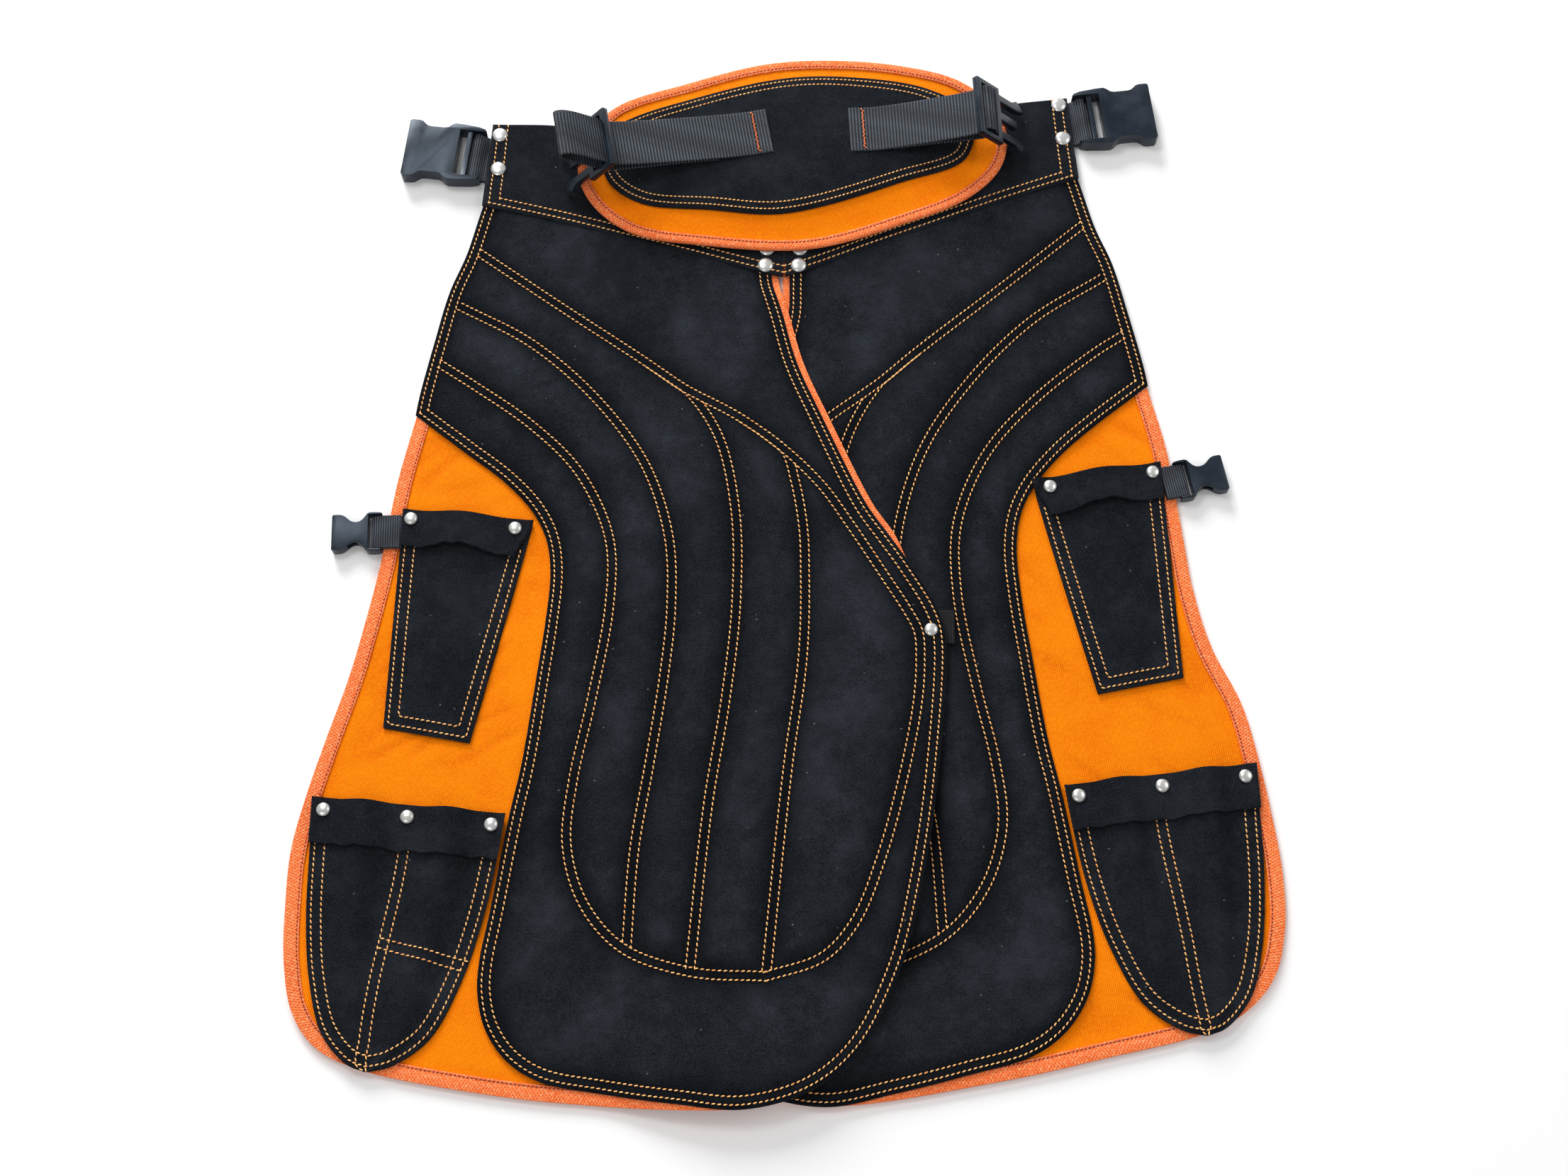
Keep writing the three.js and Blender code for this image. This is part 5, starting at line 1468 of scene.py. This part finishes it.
@dataclass
class BackPad:
    """Padded back piece: canvas body, tape round its edge and a suede lens."""

    wear: Wardrobe
    sewing: Sewing
    reds: Sewing
    centre: tuple = (6.0, 350.0)
    rim: float = 0.86
    crown: float = 8.0
    leather: float = 2.0
    step: float = 3.0
    edge: tuple = (
        (-164, -8), (-141, 38), (-78, 64), (-18, 81), (35, 84), (86, 79), (128, 67), (154, 46), (166, 18),
        (160, -12), (135, -38), (84, -61), (14, -82), (-66, -79), (-123, -68), (-155, -40),
    )
    lens: tuple = (
        (-146, 0), (-137, 22), (-75, 48), (-4, 66), (46, 67), (105, 57), (138, 35), (134, -4), (84, -27),
        (-4, -54), (-60, -51), (-115, -44), (-140, -25),
    )

    def __post_init__(self) -> None:
        """Samples both outlines about the pad's centre."""
        self.seat_of_pad = np.array([*self.centre, PAD_BASE])
        self.outline = resample(curve_through(self.edge, True), self.step, True)
        self.lens_line = resample(curve_through(self.lens, True), self.step, True)
        angle = np.arctan2(self.outline[:, 1], self.outline[:, 0])
        order = np.argsort(angle)
        self.angles = angle[order]
        self.reach = np.linalg.norm(self.outline, axis=1)[order]

    def top(self, points: Array) -> Array:
        """Upper face of the padded body at points about the centre."""
        angle = np.arctan2(points[:, 1], points[:, 0])
        reach = np.interp(angle, self.angles, self.reach, period=2 * math.pi)
        share = np.linalg.norm(points, axis=1) / reach
        return CANVAS_TOP + self.crown * np.maximum(0.0, 1.0 - (share / self.rim) ** 2)

    def moved(self, shape: Shape) -> Shape:
        """Puts a shape from the pad's own centre to its place on the yoke."""
        shape.vertices = shape.vertices + self.seat_of_pad
        return shape

    def lens_top(self, points: Array) -> Array:
        """Upper face of the suede lens, pressed along its stitches."""
        near = distance_to(self.lens_line, points)
        puff = 0.6 * smoothstep(9.0, 30.0, near) + 0.25 * drift(points, 30.0, 8.8)
        return self.top(points) + 2 * GAP + self.leather + puff * smoothstep(8.0, 16.0, near)

    def tape(self) -> Object:
        """The tape folded round the pad's edge, with its stitches."""
        normals = -path_normals(self.outline, True)
        run = self.step * np.arange(len(self.outline))
        width, groove = 8.2, 6.2
        profile = [
            (width, 0.0), (2.0, 0.0), (0.6, 0.6), (0.0, 1.9), (0.5, 3.1), (1.8, TAPE_TOP),
            (4.4, TAPE_TOP + 0.1), (groove, TAPE_TOP - 0.32), (7.4, TAPE_TOP), (width, TAPE_TOP - 0.3),
            (width, SEWN_BASE), (1.0, SEWN_BASE), (1.0, TAPE), (width, TAPE),
        ]
        shape = folded_tape(self.outline, normals, run, profile, (8.1, 0.14), level(0.0), True)
        piece = settle(self.moved(shape).piece("tape_pad", self.wear.tape, 70.0), "tape", "pad_binding")
        flat = (2.0 * width * MM + TAPE_TOP * MM, run[-1] * MM)
        row = self.outline + normals * groove
        self.reds.sew("pad_tape_stitches", "tape", [self.ring(row, level(TAPE_TOP - 0.12))], *TAPE_STITCH)
        return piece

    def ring(self, row: Array, height: Height) -> Array:
        """A closed row of stitches on the pad, from a line about its centre and a height."""
        row = np.vstack([row, row[:1]])
        return np.column_stack([row, height(row)]) + self.seat_of_pad

    def build(self) -> None:
        """Makes the pad's pieces."""
        edge = self.outline - path_normals(self.outline, True) * (TAPE + GAP)
        body = self.moved(Slab(edge, 6.0, self.top, level(CANVAS_BASE), (), 0.3).shape())
        body = settle(body.piece("canvas_pad", self.wear.canvas), "canvas", "pad_body")
        self.tape()
        lens = Slab(self.lens_line, 4.5, self.lens_top, lambda points: self.top(points) + 2 * GAP)
        lens = self.moved(lens.shape())
        lens = settle(lens.piece("suede_lens", self.wear.suede), "suede", "pad_leather")
        normals = path_normals(self.lens_line, True)
        rows = [
            self.ring(self.lens_line - normals * inset, lambda points: self.lens_top(points) + STITCH_RISE)
            for inset in LENS_ROWS
        ]
        self.sewing.sew("lens_stitches", "suede", rows, 3.2)

    def seat(self, start: tuple, turn: float, width: float) -> float:
        """Height of the pad under the inner end of a strap."""
        across = np.linspace(-width / 2, width / 2, 9)
        x, y = start[0] - self.centre[0], start[1] - self.centre[1]
        spots = np.column_stack([x - across * math.sin(turn), y + across * math.cos(turn)])
        return PAD_BASE + float(self.top(spots).max()) + 2 * GAP + self.leather


@dataclass
class Strip:
    """A strip of ribbed webbing along a route in an upright plane."""

    name: str
    route: Array
    width: float
    start: tuple
    turn: float
    cloth: Material
    rib: float = 2.4

    def build(self, node: str) -> Object:
        """Makes the strip with its ribs, in place of a CAD node."""
        step = self.rib / 6
        line = resample(curve_through(self.route), step)
        run = step * np.arange(len(line))
        tangent = np.gradient(line, axis=0)
        tangent /= np.linalg.norm(tangent, axis=1, keepdims=True)
        normal = np.column_stack([-tangent[:, 1], tangent[:, 0]])
        rib = 0.5 - 0.5 * np.cos(2 * np.pi * run / self.rib)
        half, wide = WEBBING / 2, self.width / 2
        columns = np.concatenate([[-1.0, -0.985], np.linspace(-0.94, 0.94, 13), [0.985, 1.0]])
        profile = [(c, 1.0) for c in columns] + [(c, -1.0) for c in columns[::-1]]
        cos, sin = math.cos(self.turn), math.sin(self.turn)
        rings, maps, lit = [], [], []
        for c, face in profile:
            edge = 1.0 if abs(c) < 0.99 else 0.35
            off = face * edge * (half - 0.42 + 0.42 * rib)
            along = line[:, 0] + normal[:, 0] * off
            high = line[:, 1] + normal[:, 1] * off
            across = c * wide * np.ones(len(line)) + (0.25 * rib * np.sign(c) if abs(c) > 0.99 else 0.0)
            x = self.start[0] + along * cos - across * sin
            y = self.start[1] + along * sin + across * cos
            rings.append(np.column_stack([x, y, high]))
            maps.append(np.column_stack([np.full(len(line), 500.0), across + (run // self.rib) * 0.85]))
            lit.append(rib)
        shape = sweep(np.stack(rings, axis=1), np.stack(maps, axis=1))
        # The rib height goes into the rim value, from which the webbing finish paints highlight on the rib
        # tops and shade between them
        shape.rim = np.stack(lit, axis=1).ravel()
        return settle(shape.piece(self.name, self.cloth, 75.0), "webbing", node)

    def length(self) -> float:
        """Length of the route in metres."""
        return float(np.linalg.norm(np.diff(curve_through(self.route), axis=0), axis=1).sum()) * MM


@dataclass
class Straps:
    """All the webbing: pad straps with their loops, waist and thigh tabs."""

    wear: Wardrobe
    sewing: Sewing
    pad: BackPad
    pitch: float = math.radians(47.0)
    plug_height: float = 49.6
    waist: float = 38.0
    thigh: float = 25.0

    def pad_route(self, side: Side, reach: float, seat: float) -> Array:
        """Route of a pad strap: sewn end, up through the plug, round its loop and back below."""
        loops = {
            Side.LEFT: (
                (4, -9), (5, -3), (5, 3), (5.5, 14), (6.5, 26), (9, 34), (13, 37), (16.5, 33), (16.5, 24),
                (15.2, 12), (15, 3), (15, -3), (13.5, -8),
            ),
            Side.RIGHT: (
                (4, -9), (5, -3), (5.2, 2.6), (8, 4.4), (12, 4.4), (14.8, 2.6), (15, -3), (13.5, -8),
            ),
        }
        cos, sin = math.cos(self.pitch), math.sin(self.pitch)
        plug = self.plug_height
        through = [(reach + a * cos + h * sin, plug - a * sin + h * cos) for a, h in loops[side]]
        sewn = seat + GAP + WEBBING / 2
        return np.array([(0.0, sewn), (22.0, sewn), *through, (0.62 * reach, 29.0), (0.34 * reach, 24.6)])

    def pad_strap(self, side: Side, start: tuple, heading: float, reach: float) -> None:
        """One pad strap with the bar of stitches across its sewn end."""
        turn = math.radians(heading)
        seat = self.pad.seat(start, turn, self.waist)
        route = self.pad_route(side, reach, seat)
        strip = Strip(f"strap_pad_{side.word}", route, self.waist, start, turn, self.wear.webbing)
        piece = strip.build(f"pad_strap_{side.word}")
        self.waist * MM
        strip.length()
        across = np.linspace(-17.0, 17.0, 24)
        sway = 11.0 + 0.7 * (-1.0) ** np.arange(len(across))
        bar = np.column_stack([
            start[0] + sway * math.cos(turn) - across * math.sin(turn),
            start[1] + sway * math.sin(turn) + across * math.cos(turn),
            np.full(len(across), seat + GAP + WEBBING + 0.2),
        ])
        self.sewing.sew(f"strap_stitches_{side.word}", "webbing", [bar], 2.05, 1.15)

    def tab(self, kind: str, side: Side, start: tuple, degrees: float) -> None:
        """The short webbing round the bar of a socket."""
        under = -5.0 if side is Side.LEFT else -1.2
        routes = {
            "waist": (
                (-36, 1.1), (0, 1.1), (4, 1.3), (7.5, 1.6), (10, 2.6), (10.9, 4.8), (10, 7.2), (7.8, 8.1),
                (5.4, 7.3), (2.8, 4.9), (0.6, 3.15), (-2, 3), (-36, 3),
            ),
            "thigh": (
                (under, 4.9), (8, 4.9), (9.4, 3.6), (10.6, 2), (11.8, 1.15), (13.2, 1), (15.2, 1.7),
                (16, 3.6), (15.2, 5.7), (12.8, 6.6), (8.5, 6.95), (5, 6.9), (under, 6.9),
            ),
        }
        width = self.waist if kind == "waist" else self.thigh
        turn = math.radians(degrees) if side is Side.RIGHT else math.pi - math.radians(degrees)
        strip = Strip(f"strap_{kind}_{side.word}", np.array(routes[kind], float), width, start, turn,
                      self.wear.webbing, FINE_RIB)
        piece = strip.build(f"{kind}_webbing_{side.word}")
        flat = (width * MM, strip.length())

    def build(self) -> None:
        """Makes every strip."""
        self.pad_strap(Side.LEFT, (-11.0, 364.0), 190.0, 124.0)
        self.pad_strap(Side.RIGHT, (50.0, 365.0), 3.0, 98.0)
        for kind, side, start, degrees in (
            ("waist", Side.LEFT, (-230.0, 351.0), 6.5), ("waist", Side.RIGHT, (224.5, 383.0), 6.5),
            ("thigh", Side.LEFT, (-281.7, 41.0), -2.0), ("thigh", Side.RIGHT, (277.6, 78.8), 10.8),
        ):
            self.tab(kind, side, start, degrees)
        top = LEG_LIFT - GAP - WEBBING / 2
        route = np.array([(along, top) for along in (0.0, 12.0, 24.0, 36.0)])
        # The inner thigh tab takes the webbing copy painted dark as shade
        inner = Strip("strap_inner_thigh", route, self.thigh, (85.0, -33.0), 0.0, self.wear.dark_webbing,
                      FINE_RIB)
        piece = inner.build("thigh_tab")
        self.thigh * MM
        inner.length()


@dataclass
class Buckles:
    """Side release buckles as (node, piece, rounding), from the CAD bodies with softened edges."""

    wear: Wardrobe
    halves: tuple = (
        ("waist_socket", "buckle_waist", 0.9), ("thigh_socket", "buckle_thigh", 0.6),
        ("pad_plug", "buckle_plug", 0.7),
    )

    @staticmethod
    def joined(mesh: bpy.types.Mesh, name: str, clean: Callable) -> bpy.types.Mesh:
        """A copy of a mesh with its doubled points joined and one more step of cleaning done."""
        work = bmesh.new()
        work.from_mesh(mesh)
        bmesh.ops.remove_doubles(work, verts=work.verts, dist=TOUCHING)
        clean(work)
        made = bpy.data.meshes.new(name)
        work.to_mesh(made)
        work.free()
        return made

    def soften(self, node: str, name: str, width: float) -> Object:
        """Copies a CAD body, joins its facets and rounds its edges.

        Args:
            node: the CAD body.
            name: the piece's name.
            width: width of the rounding in millimetres.

        Returns:
            The finished piece.
        """
        facets = math.radians(2.0)
        mesh = self.joined(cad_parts[node].data, name, lambda work: bmesh.ops.dissolve_limit(
            work, angle_limit=facets, verts=work.verts, edges=work.edges))
        mesh.materials.append(self.wear.acetal)
        obj = placed(name, mesh)
        bevel = obj.modifiers.new("edge", "BEVEL")
        bevel.width = width * MM
        bevel.segments = 3
        bevel.limit_method = "ANGLE"
        bevel.angle_limit = math.radians(25.0)
        obj.data = self.joined(applied(obj, bevel), name, lambda work: bmesh.ops.dissolve_degenerate(
            work, dist=TOUCHING, edges=work.edges))
        obj.data.materials.append(self.wear.acetal)
        smooth(obj.data, 40.0)
        return settle(obj, "acetal", node)

    def build(self) -> None:
        """Makes all six halves."""
        for side in Side:
            for node, name, width in self.halves:
                self.soften(f"{node}_{side.word}", f"{name}_{side.word}", width)


@dataclass
class Rivets:
    """Domed nickel rivets on the points where the CAD rivets sit."""

    wear: Wardrobe

    def build(self) -> None:
        """Makes the large and the small rivets, one piece each."""
        tree = RepeatTree.rivets(self.wear.nickel)
        names = [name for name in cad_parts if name.startswith("rivet_")]
        large = [name for name in names if "waist" in name or "centre" in name]
        small = [name for name in names if name not in large]
        for name, group, radius in (("rivets_waist", large, 5.8), ("rivets_pockets", small, 4.7)):
            seats = []
            for node in group:
                low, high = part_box(node)
                seats.append(((low[0] + high[0]) / 2, (low[1] + high[1]) / 2, low[2] - 0.0002))
            seed = bpy.data.meshes.new(name)
            seed.from_pydata(seats, [], [])
            piece = RepeatTree.grow(name, seed, tree, Radius=radius * MM, Rise=RIVET_RISE * MM)
            settle(piece, "nickel", *group)


@dataclass(frozen=True)
class Studio:
    """Pale floor, soft lights as (name, place, aim, size, power) and the camera."""

    lens: float = 50.0
    camera: tuple = (0.0, -535.9, 1472.3)
    aim: tuple = (0.0, 0.0, 0.0)
    reach: float = 6.0
    sunk: float = -0.0004
    lights: tuple = (
        ("key", (-1.4, 4.2, 1.9), (0.0, 0.0, 0.0), 2.0, 284.0),
        ("panel", (-0.74, 0.95, 2.0), (-0.2, 0.0, 0.0), 0.7, 13.0),
        ("side", (1.9, 0.5, 1.7), (0.0, 0.0, 0.0), 1.4, 13.0),
        ("front", (-0.9, -1.7, 1.9), (0.0, 0.0, 0.0), 1.4, 14.0),
    )

    def floor(self) -> None:
        """A wide pale floor with a faint mottle."""
        mesh = bpy.data.meshes.new("floor")
        signs = ((-1, -1), (1, -1), (1, 1), (-1, 1))
        corners = [(x * self.reach, y * self.reach, self.sunk) for x, y in signs]
        mesh.from_pydata(corners, [], [(0, 1, 2, 3)])
        material, nodes, shader, place = Finish("floor_paint").start()
        cloud = nodes.get("ShaderNodeTexNoise", "Fac", {"Vector": place, "Scale": 3.0})
        paint = nodes.blend(cloud, (0.85, 0.85, 0.85), (0.88, 0.88, 0.88))
        nodes.wire(shader, {"Base Color": paint, "Roughness": 0.9})
        mesh.materials.append(material)
        placed("floor", mesh)

    def light(self, name: str, at: tuple, aim: tuple, size: float, power: float) -> None:
        """A square soft light."""
        lamp = bpy.data.lights.new(name, "AREA")
        lamp.size = size
        lamp.energy = power
        self.point(placed(name, lamp), at, aim)

    @staticmethod
    def point(obj: Object, at: Sequence, aim: Sequence) -> Object:
        """Puts a light or camera at a place and turns it to another."""
        obj.location = at
        obj.rotation_euler = (Vector(aim) - Vector(at)).to_track_quat("-Z", "Y").to_euler()
        return obj

    def build(self) -> None:
        """Sets up floor, lights, world and camera."""
        scene = bpy.context.scene
        self.floor()
        for name, at, aim, size, power in self.lights:
            self.light(name, at, aim, size, power)
        world = bpy.data.worlds.new("studio")
        world.use_nodes = True
        sky = world.node_tree.nodes["Background"]
        NodeTree(world.node_tree).wire(sky, {"Color": (1.0, 1.0, 1.0), "Strength": 0.4})
        scene.world = world
        scene.view_settings.view_transform = "Standard"
        data = bpy.data.cameras.new("camera")
        data.lens = self.lens
        data.sensor_width = 36.0
        at, aim = (LAY.metres(np.array(spot)) for spot in (self.camera, self.aim))
        scene.camera = self.point(placed("camera", data), at, aim)


KNIFE_SECTIONS = ((276, 57, 182, 48), (278, 3, 194, -6), (281, -106, 220, -117))
POUCH_SECTIONS = (
    (326, -158, 193, -170), (326, -197, 197, -201), (325, -240, 204, -239), (320, -282, 217, -283),
    (309, -318, 236.5, -322), (291, -338.5, 261, -340), (278.5, -343.5, 275.5, -343.5),
)


def main() -> None:
    """Builds every sub-assembly."""
    logging.basicConfig(level=logging.INFO, format="%(message)s")
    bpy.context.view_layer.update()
    wear = Wardrobe.make()
    gold = Sewing(RepeatTree.stitches(wear.gold))
    red = Sewing(RepeatTree.stitches(wear.red))
    for side in Side:
        leg = Leg(side, wear, gold, red)
        leg.build()
        Pocket(
            "knife_pocket", "knife_band", KNIFE_SECTIONS, bays=((0.13, 0.82),), band=0.165, flare=2.5,
            leg=leg, rise=side.value[3], centre_rows=False, flat=(0.1, 0.175), area=0.0137, dip=0.14,
            taper=0.07).build()
        Pocket(
            "tool_pouch", "pouch_band", POUCH_SECTIONS, bays=((0.12, 0.44), (0.56, 0.88)), band=0.15,
            flare=0.0, leg=leg, rise=0.0, centre_rows=True, flat=(0.135, 0.185), area=0.0185).build()
    Yoke(wear, gold).build()
    pad = BackPad(wear, gold, red)
    pad.build()
    Straps(wear, Sewing(RepeatTree.stitches(wear.orange)), pad).build()
    Buckles(wear).build()
    Rivets(wear).build()
    Studio().build()


if __name__ == "__main__":
    main()
